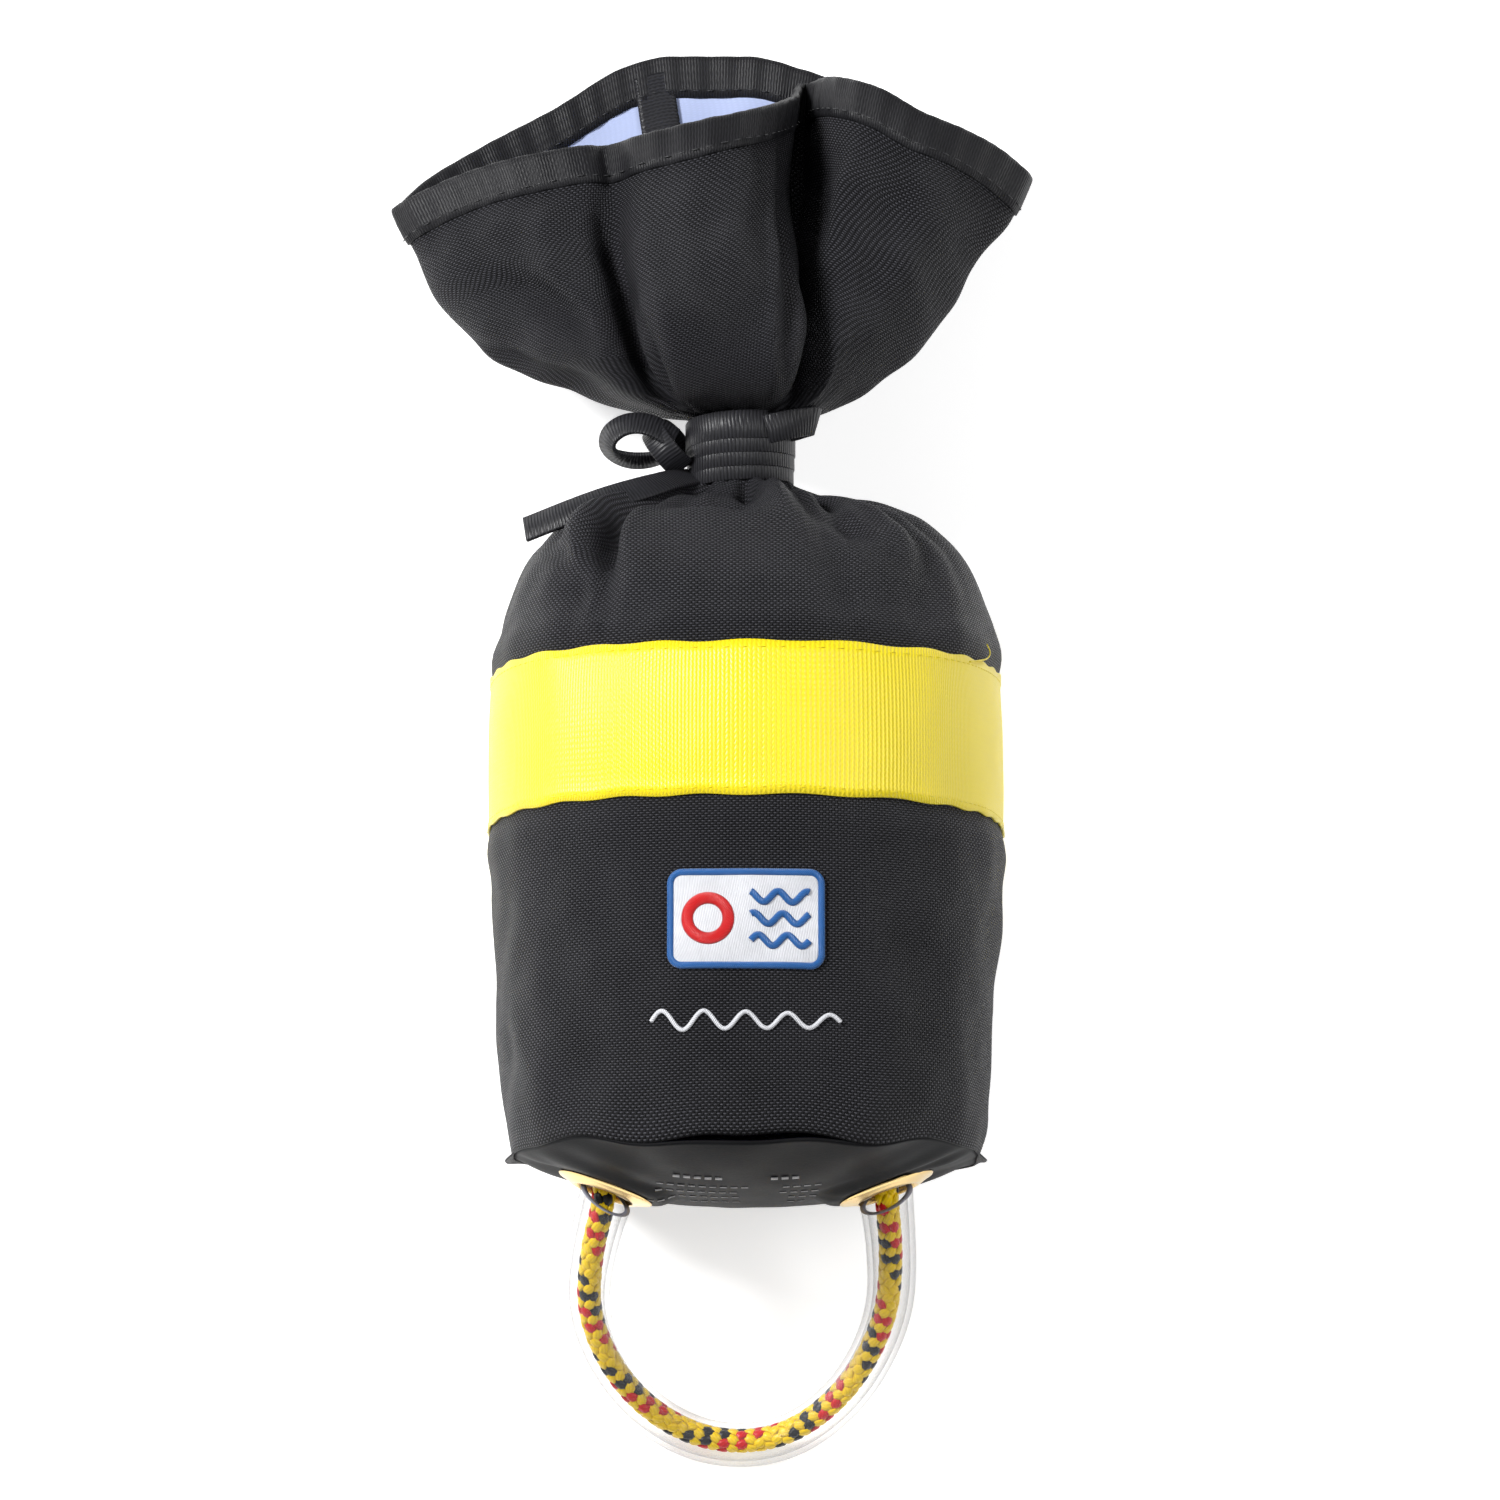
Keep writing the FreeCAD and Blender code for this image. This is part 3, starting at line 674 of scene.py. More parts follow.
class Signal:
    """A shader socket, or a number, that adds its Math nodes when it is used in a sum."""

    def __init__(self, finish, socket):
        self.finish, self.socket = finish, socket

    def joined(self, operation, other, first=True):
        pair = (self, other) if first else (other, self)
        node = self.finish.add("ShaderNodeMath", {"operation": operation}, {0: pair[0], 1: pair[1]})
        return node["Value"]

    def __add__(self, other):
        return self.joined("ADD", other)

    def __sub__(self, other):
        return self.joined("SUBTRACT", other)

    def __rsub__(self, other):
        return self.joined("SUBTRACT", other, first=False)

    def __mul__(self, other):
        return self.joined("MULTIPLY", other)

    def __pow__(self, other):
        return self.joined("POWER", other)

    __radd__, __rmul__ = __add__, __mul__

    def one(self, operation):
        """A Math node of one input, such as SINE or ABSOLUTE."""
        return self.finish.add("ShaderNodeMath", {"operation": operation}, {0: self})["Value"]


class Added:
    """A node that was added, whose outputs are read by name."""

    def __init__(self, finish, node):
        self.finish, self.node = finish, node

    def __getitem__(self, name):
        return Signal(self.finish, self.node.outputs[name])


class Finish:
    """A material with one Principled shader, built up by adding nodes."""

    def __init__(self, name, base, rough, **constants):
        self.material = bpy.data.materials.new(name)
        self.material.use_nodes = True
        self.tree = self.material.node_tree
        self.shader = self.tree.nodes["Principled BSDF"]
        self.set(**{"Base Color": (*base, 1), "Roughness": rough})
        self.set(**{key.replace("_", " "): value for key, value in constants.items()})

    def set(self, **values):
        for key, value in values.items():
            self.join(self.shader.inputs[key], value)

    def join(self, socket, value):
        if isinstance(value, Signal):
            self.tree.links.new(value.socket, socket)
        else:
            socket.default_value = value

    def add(self, kind, settings=None, values=None):
        """A node with its settings, then the values or links of its sockets."""
        node = self.tree.nodes.new(kind)
        for key, value in (settings or {}).items():
            setattr(node, key, value)
        for key, value in (values or {}).items():
            self.join(node.inputs[key], value)
        return Added(self, node)

    def place(self):
        """The object's own coordinates."""
        return self.add("ShaderNodeTexCoord")["Object"]

    def threads(self):
        """The two directions of the piece's own map, in metres."""
        uv = self.add("ShaderNodeUVMap", {"uv_map": "UVMap"})["UV"]
        split = self.add("ShaderNodeSeparateXYZ", values={0: uv})
        return split["X"], split["Y"]

    def noise(self, vector, scale, detail=2.0, rough=0.5):
        values = {"Vector": vector, "Scale": scale, "Detail": detail, "Roughness": rough}
        return self.add("ShaderNodeTexNoise", values=values)["Fac"]

    def mixed(self, factor, first, second):
        """A mix of two colours."""
        node = self.tree.nodes.new("ShaderNodeMix")
        node.data_type = "RGBA"
        colour_inputs = [s for s in node.inputs if s.type == "RGBA"]
        self.join(node.inputs[0], factor)
        for socket, tone in zip(colour_inputs, (first, second)):
            self.join(socket, tone if isinstance(tone, Signal) else (*tone, 1))
        return Signal(self, [s for s in node.outputs if s.type == "RGBA"][0])

    def bump(self, height, strength, distance):
        values = {"Height": height, "Strength": strength, "Distance": distance}
        self.set(Normal=self.add("ShaderNodeBump", values=values)["Normal"])


def shade(tone, factor):
    """A colour made lighter or darker."""
    return tuple(min(1.0, c * factor) for c in tone)


def woven(name, tone, light, pitch, rough, strength=0.6, depth=0.25 * MM, **constants):
    """Plain-woven cloth: threads over and under each other, on the piece's own map. The weft floats take the
    light tone and the rest the dark one: on the black cloth this is painted highlight on the thread crowns
    and painted shade between them.
    """
    finish = Finish(name, tone, rough, **constants)
    u, v = finish.threads()
    across, along = u * (math.pi / pitch), v * (1.25 * math.pi / pitch)
    first, second = across.one("SINE"), along.one("SINE")
    checker = 0.5 * first * second
    warp = first.one("ABSOLUTE") * (0.5 + checker)
    weft = second.one("ABSOLUTE") * (0.5 - checker)
    height = warp.joined("MAXIMUM", weft)
    soft = finish.noise(finish.place(), 45, 3)
    fine = finish.noise(finish.place(), 900, 2)
    # Painted light: the weft floats take the light tone as a painted highlight on the thread crowns, and the
    # rest takes the dark tone as painted shade, with soft random tone mixed in.
    finish.set(**{"Base Color": finish.mixed(weft**1.4 + 0.1 * warp + 0.16 * soft - 0.08, tone, light)})
    finish.set(Roughness=rough + 0.30 - 0.34 * weft + 0.12 * (fine - 0.5) + 0.08 * (soft - 0.5))
    finish.bump(height + 0.25 * fine, strength, depth)
    return finish.material


def ribbed(name, tone, light, pitch, rough, across=False, **constants):
    """Ribbed webbing or tape: fine ribs across its length."""
    finish = Finish(name, tone, rough, **constants)
    u, v = finish.threads()
    along, over = (v, u) if across else (u, v)
    rib = 0.5 + 0.5 * (along * (2 * math.pi / pitch)).one("SINE")
    sway = 3.0 * (along * (math.pi / pitch)).one("SINE")
    pick = 0.5 + 0.5 * (over * (2 * math.pi / (pitch * 1.7)) + sway).one("SINE")
    soft = finish.noise(finish.place(), 38, 3)
    fine = finish.noise(finish.place(), 1300, 2)
    height = rib * 0.8 + pick * 0.3
    # Painted light: the rib crowns take the light tone and the grooves the dark one, a painted highlight and
    # painted shade across the ribs, with soft random tone mixed in. On the black tapes the light tone is many
    # times the tape's colour.
    finish.set(**{"Base Color": finish.mixed(height * 0.6 + soft * 0.5 - 0.15, tone, light)})
    finish.set(Roughness=rough - 0.08 * rib + 0.10 * (fine - 0.5))
    finish.bump(height + 0.3 * fine, 0.7, 0.2 * MM)
    return finish.material


def satin(name, tone, pitch, slant=0.0):
    """Satin stitch: close threads, all one way, that catch the light."""
    finish = Finish(name, tone, 0.42, Sheen_Weight=0.25, Sheen_Roughness=0.4)
    u, v = finish.threads()
    along = u + v * slant
    wobble = finish.noise(finish.place(), 500, 2) - 0.5
    thread = 0.5 + 0.5 * (along * (2 * math.pi / pitch) + 1.6 * wobble).one("SINE")
    tone_mix = thread * 0.7 + 0.5 * finish.noise(finish.place(), 260, 3)
    finish.set(**{"Base Color": finish.mixed(tone_mix, shade(tone, 0.66), shade(tone, 1.12))})
    finish.set(Roughness=0.52 - 0.18 * thread)
    finish.bump(thread, 0.8, 0.16 * MM)
    return finish.material


def filament(name, tone):
    """Glossy polypropylene yarn: fine filaments along each strand."""
    finish = Finish(name, tone, 0.36, Specular_IOR_Level=0.30)
    u, v = finish.threads()
    lines = 0.5 + 0.5 * (u * 9 * 2 * math.pi + 2.0 * (v * 900).one("SINE")).one("SINE")
    soft = finish.noise(finish.place(), 220, 3)
    dark, light = shade(tone, 0.74), shade(tone, 1.15)
    finish.set(**{"Base Color": finish.mixed(lines * 0.45 + soft * 0.6, dark, light)})
    finish.set(Roughness=0.44 - 0.14 * lines)
    finish.bump(lines, 0.45, 0.08 * MM)
    return finish.material


def vinyl_finish():
    """Smooth coated cloth with a faint grain."""
    tone = tuple(colours().vinyl)
    finish = Finish("black_vinyl", tone, 0.42, Specular_IOR_Level=0.04)
    grain = finish.noise(finish.place(), 1100, 3)
    soft = finish.noise(finish.place(), 55, 4)
    finish.set(**{"Base Color": finish.mixed(soft, tone, shade(tone, 1.7))})
    finish.set(Roughness=0.36 + 0.16 * soft + 0.08 * grain)
    finish.bump(grain * 0.5 + soft, 0.35, 0.25 * MM)
    return finish.material


def brass_finish():
    """Bright brass plate with fine handling marks."""
    tone = tuple(colours().brass)
    finish = Finish("brass", tone, 0.24, Metallic=1.0)
    marks = finish.noise(finish.place(), 420, 4, 0.65)
    soft = finish.noise(finish.place(), 70, 2)
    finish.set(**{"Base Color": finish.mixed(soft * 0.7, tone, shade(tone, 0.72))})
    finish.set(Roughness=0.16 + 0.16 * marks)
    finish.bump(marks, 0.12, 0.1 * MM)
    return finish.material


def clear_finish():
    """Clear flexible tube: seen through at its middle, and pale along its edges."""
    finish = Finish("clear_tube", (0.86, 0.88, 0.90), 0.10, Specular_IOR_Level=0.6, IOR=1.46)
    edge = finish.add("ShaderNodeLayerWeight", values={"Blend": 0.30})["Facing"]
    haze = finish.noise(finish.place(), 60, 3)
    finish.set(Alpha=0.015 + 0.85 * edge**1.5 + 0.012 * haze)
    finish.set(Roughness=0.05 + 0.10 * haze)
    finish.set(**{"Base Color": finish.mixed(edge**1.2, (0.55, 0.56, 0.60), (0.12, 0.13, 0.16))})
    return finish.material


def plain(name, tone, rough, scale, **constants):
    """A finish for the pieces inside the bag: fine threads and grain on the object's own coordinates."""
    finish = Finish(name, tone, rough, **constants)
    grain = finish.noise(finish.place(), scale, 3)
    soft = finish.noise(finish.place(), scale / 12, 2)
    finish.set(**{"Base Color": finish.mixed(grain * 0.6 + soft * 0.4, shade(tone, 0.6), shade(tone, 1.15))})
    finish.set(Roughness=rough - 0.1 + 0.2 * grain)
    finish.bump(grain, 0.5, 0.2 * MM)
    return finish.material


def foam_finish():
    """Closed-cell foam with a fine pitted skin."""
    finish = Finish("grey_foam", (0.42, 0.42, 0.43), 0.8)
    cells = finish.add("ShaderNodeTexVoronoi", values={"Vector": finish.place(), "Scale": 700})["Distance"]
    finish.set(**{"Base Color": finish.mixed(cells, (0.34, 0.34, 0.35), (0.52, 0.52, 0.53))})
    finish.bump(cells, 0.4, 0.3 * MM)
    return finish.material


def print_finish():
    """Worn grey ink."""
    finish = Finish("grey_print", (0.20, 0.20, 0.21), 0.55)
    wear = finish.noise(finish.place(), 900, 3)
    finish.set(**{"Base Color": finish.mixed(wear, (0.10, 0.10, 0.105), (0.30, 0.30, 0.31))})
    finish.bump(wear, 0.2, 0.05 * MM)
    return finish.material


def floor_finish():
    """Plain pale floor."""
    tone = tuple(colours().floor)
    finish = Finish("floor", tone, 0.6)
    soft = finish.noise(finish.place(), 3, 2)
    finish.set(**{"Base Color": finish.mixed(soft, tone, shade(tone, 1.01))})
    finish.set(**{"Emission Color": (1, 1, 1, 1), "Emission Strength": 0.60})
    return finish.material


FINISHES = {}


def make_finishes():
    """Every material of the bag, by name."""
    tone, size = colours(), sizes()
    black, tape, yellow = tuple(tone.black), tuple(tone.tape), tuple(tone.yellow)
    lining = tuple(tone.lining)
    FINISHES.update(
        # The black cloth's dark tone, a fifth of its black, and its light tone, twenty times its black, paint
        # shade between the threads and a highlight on the weft floats.
        cloth=woven(
            "black_cloth", shade(black, 0.2), shade(black, 20), size.weave, 0.32, 1.0, 0.6 * MM,
            Specular_IOR_Level=0.13,
        ),
        # The lining's base colour carries painted shade for the inside of the mouth, darker than its own pale
        # blue-white.
        lining=woven("white_lining", shade(lining, 0.92), lining, size.weave, 0.5, 0.3, 0.1 * MM),
        # The black tape's and webbing's light tones, six and ten times the tape's colour, are painted
        # highlight on the rib crowns.
        tape=ribbed("black_tape", tape, shade(tape, 6), 0.85 * MM, 0.5, Specular_IOR_Level=0.18),
        strap=ribbed(
            "black_webbing", tape, shade(tape, 10), 1.1 * MM, 0.42, across=True, Specular_IOR_Level=0.25
        ),
        webbing=ribbed(
            "yellow_webbing", shade(yellow, 0.84), shade(yellow, 1.12), 1.05 * MM, 0.40,
            Specular_IOR_Level=0.5, Sheen_Weight=0.2, Sheen_Roughness=0.35,
        ),
        ground=satin("badge_white", tuple(tone.white), 0.55 * MM, 0.15),
        border=satin("badge_blue", tuple(tone.blue), 0.62 * MM, 1.0),
        red=satin("badge_red", tuple(tone.red), 0.5 * MM, 0.6),
        thread=satin("white_thread", tuple(tone.white), 0.5 * MM, 0.35),
        rope_yellow=filament("rope_yellow", tuple(tone.rope)),
        rope_red=filament("rope_red", tuple(tone.red)),
        rope_black=filament("rope_black", (0.012, 0.012, 0.014)),
        vinyl=vinyl_finish(),
        brass=brass_finish(),
        clear=clear_finish(),
        cut_edge=plain("tube_cut_edge", (0.34, 0.35, 0.44), 0.3, 300),
        foam=foam_finish(),
        ink=print_finish(),
        floor=floor_finish(),
        black_stitch=plain("black_stitch", (0.022, 0.022, 0.025), 0.45, 1500),
        yellow_stitch=plain("yellow_stitch", shade(yellow, 0.95), 0.45, 1500),
        inner_tape=plain("inner_tape", tape, 0.55, 900),
        inner_rope=plain("inner_rope", tuple(tone.rope), 0.4, 700),
        inner_brass=plain("inner_brass", tuple(tone.brass), 0.3, 400, Metallic=1.0),
        inner_cloth=plain("inner_cloth", black, 0.5, 900),
    )


# ------------------------------------------------------------------ stage


def make_stage():
    """Camera, floor and soft studio light."""
    target = Vector((0.0013, 0.0560, 0.072))
    elevation, distance, view_width = math.radians(81), 6.0, 0.483
    camera_data = bpy.data.cameras.new("camera")
    camera = bpy.data.objects.new("camera", camera_data)
    bpy.context.scene.collection.objects.link(camera)
    camera.location = target + distance * Vector((0, -math.cos(elevation), math.sin(elevation)))
    camera.rotation_euler = (math.pi / 2 - elevation, 0, 0)
    camera_data.sensor_width = 36
    camera_data.lens = 36 * distance / view_width
    camera_data.clip_end = 20
    bpy.context.scene.camera = camera

    bm = bmesh.new()
    bmesh.ops.create_grid(bm, x_segments=1, y_segments=1, size=4)
    finished(bm, "floor", [FINISHES["floor"]], smooth=False)

    bpy.context.scene.view_settings.view_transform = "Standard"

    world = bpy.data.worlds.new("studio")
    world.use_nodes = True
    world.node_tree.nodes["Background"].inputs["Color"].default_value = (1, 1, 1, 1)
    world.node_tree.nodes["Background"].inputs["Strength"].default_value = 0.14
    bpy.context.scene.world = world
    lamps = [
        ("key", (-1.7, 0.9, 1.9), (0.7, 0.7), 92),
        ("fill", (1.6, 0.3, 2.0), (1.0, 1.0), 25),
        ("low", (0.1, -1.9, 1.5), (1.6, 0.8), 5),
    ]
    for name, place, area, watts in lamps:
        light = bpy.data.lights.new(name, "AREA")
        light.shape, light.size, light.size_y, light.energy = "RECTANGLE", *area, watts
        lamp = bpy.data.objects.new(name, light)
        bpy.context.scene.collection.objects.link(lamp)
        lamp.location = place
        aim = Vector((0, 0.06, 0.06)) - lamp.location
        lamp.rotation_euler = aim.to_track_quat("-Z", "Y").to_euler()


# ------------------------------------------------------------------ handle

# The rope's route from one eyelet round the loop to the other: (across the bag, out from the pivots), in mm.
HANDLE_ROUTE = [
    (-45, 0),
    (-50, 22),
    (-51, 48),
    (-38, 77),
    (-15, 95),
    (11, 95),
    (32, 77),
    (45, 49),
    (47, 23),
    (45, 0),
]
HANDLE_SLOPE = math.radians(41.5)
OUTWARD = Vector((0, -math.cos(HANDLE_SLOPE), -math.sin(HANDLE_SLOPE)))
EYELET_LEAN = math.radians(19.9)  # the eyelets face a little outwards
EYELET_X, EYELET_Y = 0.045, -0.08602  # the middle of an eyelet's face
TUBE_SHIFT = 1.6 * MM  # the rope lies on the inner side of its tube


def handle_place(across, out):
    """A place on the loop's own plane."""
    return PIVOT + Vector((across * MM, 0, 0)) + OUTWARD * (out * MM)


def spline_line(points):
    """The smooth line of a spline whose control points are given."""
    curve = bpy.data.curves.new("route", "CURVE")
    curve.dimensions = "3D"
    curve.resolution_u = 24
    spline = curve.splines.new("NURBS")
    spline.points.add(len(points) - 1)
    for point, co in zip(spline.points, points):
        point.co = (*co, 1)
    spline.order_u = 3
    spline.use_endpoint_u = True
    holder = bpy.data.objects.new("route", curve)
    mesh = bpy.data.meshes.new_from_object(holder)
    line = np.array([tuple(v.co) for v in mesh.vertices])
    bpy.data.objects.remove(holder)
    bpy.data.curves.remove(curve)
    bpy.data.meshes.remove(mesh)
    return line


def rope_route():
    """The handle rope's line, from the left knot through both eyelets to the right knot."""
    knots = [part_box(f"stopper_knot_{hand}") for hand in ("left", "right")]
    inner = [Vector(((low.x + high.x) / 2, low.y + 3 * MM, AXIS_Z)) for low, high in knots]
    return spline_line([inner[0], *(handle_place(*p) for p in HANDLE_ROUTE), inner[1]])


def braid(line, diameter, lay, carriers, tracer):
    """A braided rope's strands along a line. tracer gives each strand's material from its hand and number."""
    total = line_length(line)
    crossing = lay / (2 * carriers)
    count = int(total / (crossing / 7))
    points = even(line, count)
    _, side, lift = frames_along(points, Vector((0, 1, 0.001)).cross(Vector((1, 0, 0))))
    along = np.linspace(0, total, count)
    strand_wide, strand_deep, rise = 0.21 * diameter, 0.085 * diameter, 0.055 * diameter
    radius = diameter / 2 - strand_deep - rise
    rope = bmesh.new()
    for hand in (-1, 1):
        for number in range(carriers):
            turn = hand * 2 * math.pi * (along / lay + number / carriers)
            r = radius + rise * np.tanh(1.6 * hand * np.cos(math.pi * along / crossing))
            out = side * np.cos(turn)[:, None] + lift * np.sin(turn)[:, None]
            centre = points + out * r[:, None]
            ahead = np.gradient(centre, axis=0)
            ahead /= np.linalg.norm(ahead, axis=1, keepdims=True)
            flat = np.cross(out, ahead)

            def strand(first, second):
                i = np.rint(second * (count - 1)).astype(int)
                a = (first * 2 * math.pi)[:, None]
                return centre[i] + flat[i] * (strand_wide * np.cos(a)) + out[i] * (strand_deep * np.sin(a))

            bm = closed_form(6, count - 1, strand, (1, total))
            for face in bm.faces:
                face.material_index = tracer(hand, number)
            mesh = bpy.data.meshes.new("strand")
            bm.to_mesh(mesh)
            bm.free()
            rope.from_mesh(mesh)
            bpy.data.meshes.remove(mesh)
    return rope, total


def make_handle():
    """The rope loop and its clear tube."""
    size = sizes()
    line = rope_route()

    def tracer(hand, number):
        return {(1, 0): 1, (1, 1): 1, (1, 2): 2, (1, 3): 2}.get((hand, number), 0)

    bm, total = braid(line, size.rope, size.rope_lay, size.carriers, tracer)
    rope = finished(bm, "handle_rope_braid", [FINISHES[f"rope_{c}"] for c in ("yellow", "red", "black")])
    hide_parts("handle_rope", "rope_tail_left", "rope_tail_right")
    handle_place(*HANDLE_ROUTE[0])
    [tuple(p) for p in even(line, 120)]
    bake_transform(rope)

    # the tube rides on the rope, pinched flatter round the bend, its mouths cut on a slant
    places = even(spline_line([handle_place(*p) for p in HANDLE_ROUTE]), 400)
    reach = np.cumsum(np.concatenate([[0], np.linalg.norm(np.diff(places, axis=0), axis=1)]))
    start, rows = 0.5 * MM, 150
    spots = np.linspace(start, reach[-1] - start, rows + 1)
    centre = np.stack([np.interp(spots, reach, places[:, k]) for k in range(3)], 1)
    normal = OUTWARD.cross(Vector((1, 0, 0))).normalized()
    ahead, side, lift = frames_along(centre, normal)
    share = np.linspace(0, 1, rows + 1)
    bend = np.sin(math.pi * share) ** 2
    centre = centre + side * (TUBE_SHIFT * np.sqrt(bend))[:, None]
    mouth = np.exp(-share / 0.05) + np.exp(-(1 - share) / 0.05)
    wide = size.tube / 2 * (1 - 0.16 * bend + 0.10 * mouth)
    tall = size.tube / 2 * (1 + 0.02 * bend - 0.02 * mouth)

    def tube_shape(first, second):
        i = np.rint(second * rows).astype(int)
        a = first * 2 * math.pi
        across, up = np.cos(a) * wide[i], np.sin(a) * tall[i]
        lean = across[:, None] * side[i] + up[:, None] * lift[i]
        near_end = np.exp(-share[i] / 0.03) + np.exp(-(1 - share[i]) / 0.03)
        slant = lean[:, 0] * math.tan(EYELET_LEAN) * near_end
        place = centre[i] + lean + ahead[i] * slant[:, None]
        place[:, 2] = np.maximum(place[:, 2], 0.3 * MM)
        return place

    bm = closed_form(36, rows, tube_shape, (0.05, float(spots[-1])), capped=False)
    tube = finished(bm, "handle_tube_clear", [FINISHES["clear"], FINISHES["cut_edge"]])
    thicken(tube, size.tube_wall, -1, rim=1)
    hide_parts("handle_tube")
    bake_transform(tube)


# ------------------------------------------------------------------ bag

BAG = {}


def make_cloth():
    """The side panel and mouth: one tube of cloth, black outside and white-lined inside, the lining's colour
    darkened with painted shade.
    """
    columns, rows = 232, 188
    points = cloth_grid(columns, rows + 1)
    BAG["cloth"] = Cloth(points)

    def shape(first, second):
        i = np.rint(second * rows).astype(int)
        j = np.rint(first * columns).astype(int) % columns
        return points[i, j]

    front = round(0.27 * columns)
    steps = np.linalg.norm(np.diff(points[:, list(range(columns)) + [0]], axis=1), axis=2)
    across = np.concatenate([np.zeros((rows + 1, 1)), np.cumsum(steps, axis=1)], axis=1)
    across -= across[:, front : front + 1]

    def threads(first, second):
        i, j = np.rint(second * rows).astype(int), np.rint(first * columns).astype(int)
        return np.stack([across[i, j], second * RIM_REACH], -1)

    bm = sheet(columns, rows, shape, closed=True, threads=threads)
    piece = finished(bm, "bag_cloth", [FINISHES["cloth"], FINISHES["lining"]])
    thicken(piece, sizes().cloth, -1, inner=1)
    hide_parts("side_panel", "mouth_flare")
    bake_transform(piece)


def make_band():
    """The yellow webbing round the bag, its two rows of stitches and a frayed thread."""
    size, cloth = sizes(), BAG["cloth"]
    columns, rows = 320, 14

    def shape(first, second):
        edge = 0.35 * MM * np.sin(first * 2 * math.pi * 23) * (2 * second - 1)
        crown = 0.35 * MM * (1 - (2 * second - 1) ** 2)
        return cloth.at(first, size.band_low + size.band_width * second + edge, size.band_thickness + crown)

    bm = sheet(columns, rows, shape, closed=True, uv=(size.girth, size.band_width))
    band = finished(bm, "yellow_band_webbing", [FINISHES["webbing"]], "bag")
    thicken(band, size.band_thickness * 0.9, -1)
    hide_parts("yellow_band")

    count = int(size.girth / size.stitch)
    rounds = np.linspace(0, 1, count, endpoint=False)
    for name, inset in (("low", 2.2 * MM), ("high", size.band_width - 2.2 * MM)):
        lift = size.band_thickness + 0.05 * MM
        bm = stitch_row(cloth, rounds, size.band_low + inset, lift, 3.1 * MM, 0.5 * MM)
        finished(bm, f"band_stitches_{name}", [FINISHES["yellow_stitch"]], "bag")

    across, station = np.array([(70, 152.5), (73, 154), (75.5, 155.5), (76.5, 158), (75, 160)]).T * MM
    line = even(rounded(cloth.over(across, station, 1.2 * MM), 3), 24)
    bm = bead(line, np.tile((0.5, 0, 0.85), (24, 1)), 0.5 * MM, 0.3 * MM)
    finished(bm, "frayed_thread", [FINISHES["yellow_stitch"]], "bag")


def on_cloth(outline, lift):
    """Points and normals over the front of the bag, from (across, station) places in metres."""
    cloth = BAG["cloth"]
    places = np.array(outline, float)
    points = cloth.over(places[:, 0], places[:, 1], lift)
    return points, cloth.over(places[:, 0], places[:, 1], lift + 1 * MM) - points


def corner_rounded(half_x, half_y, radius, centre):
    """A rectangle's outline with round corners, as (across, station) places."""
    outline = []
    for quarter, (sx, sy) in enumerate(((1, 1), (-1, 1), (-1, -1), (1, -1))):
        middle_x, middle_y = sx * (half_x - radius), sy * (half_y - radius)
        for a in np.radians(90 * (quarter + np.linspace(0, 1, 12))):
            outline.append((middle_x + radius * math.cos(a), middle_y + radius * math.sin(a)))
    line = even([(x, y, 0) for x, y in outline + outline[:1]], 221)[:-1]
    return [(centre[0] + x, centre[1] + y) for x, y, _ in line]


BADGE = (0.0, 0.0645)


def make_badge():
    """The embroidered patch: white ground, blue border, a red lifebuoy ring and blue waves."""
    half_x, half_y, border = 25 * MM, 16 * MM, 2.4 * MM

    def ground(first, second):
        u, v = 2 * first - 1, 2 * second - 1
        tuck = np.sqrt(1 - 0.13 * u * u * v * v)
        x, y = (half_x - 1 * MM) * u * tuck, (half_y - 1 * MM) * v * tuck
        return BAG["cloth"].over(BADGE[0] + x, BADGE[1] + y, 0.75 * MM)

    bm = outward(sheet(44, 28, ground, uv=(2 * half_x, 2 * half_y)), (0, 0, AXIS_Z))
    patch = finished(bm, "badge_ground_cloth", [FINISHES["ground"]], "bag")
    thicken(patch, 0.6 * MM, -1)
    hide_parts("badge_ground")

    outline = corner_rounded(half_x - border / 2, half_y - border / 2, 3.6 * MM, BADGE)
    bm = bead(*on_cloth(outline, 0.4 * MM), border, 1.0 * MM, closed=True)
    edge = finished(bm, "badge_border_stitching", [FINISHES["border"]], "bag")
    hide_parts("badge_border")

    turns = np.linspace(0, 2 * math.pi, 90, endpoint=False)
    ring = [(BADGE[0] - 12 * MM + 6.5 * MM * math.cos(a), BADGE[1] + 6.5 * MM * math.sin(a)) for a in turns]
    bm = bead(*on_cloth(ring, 0.75 * MM), 3.9 * MM, 0.7 * MM, closed=True)
    buoy = finished(bm, "badge_ring_stitching", [FINISHES["red"]], "bag")
    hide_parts("badge_ring")

    for number, rise in enumerate((-7.0, 0.0, 7.0)):
        spots = np.linspace(0, 1, 80)
        wave = [(BADGE[0] + (1.5 + 18.5 * t) * MM,
                 BADGE[1] + (rise + 1.7 * math.sin(t * 4 * math.pi + number)) * MM) for t in spots]
        bm = bead(*on_cloth(wave, 0.75 * MM), 2.3 * MM, 0.7 * MM)
        line = finished(bm, f"badge_wave_{number + 1}", [FINISHES["border"]], "bag")
        if number == 1:
            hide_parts("badge_waves")

    spots = np.linspace(0, 1, 220)
    wave = [((-30 + 60 * t) * MM, (32.5 + (3.2 - 1.2 * t) * math.sin(t * 9 * math.pi)) * MM) for t in spots]
    bm = bead(*on_cloth(wave, 0.2 * MM), 1.5 * MM, 0.75 * MM)
    line = finished(bm, "embroidery_stitching", [FINISHES["thread"]], "bag")
    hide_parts("embroidery_line")


BOTTOM_RADIUS = 0.0745


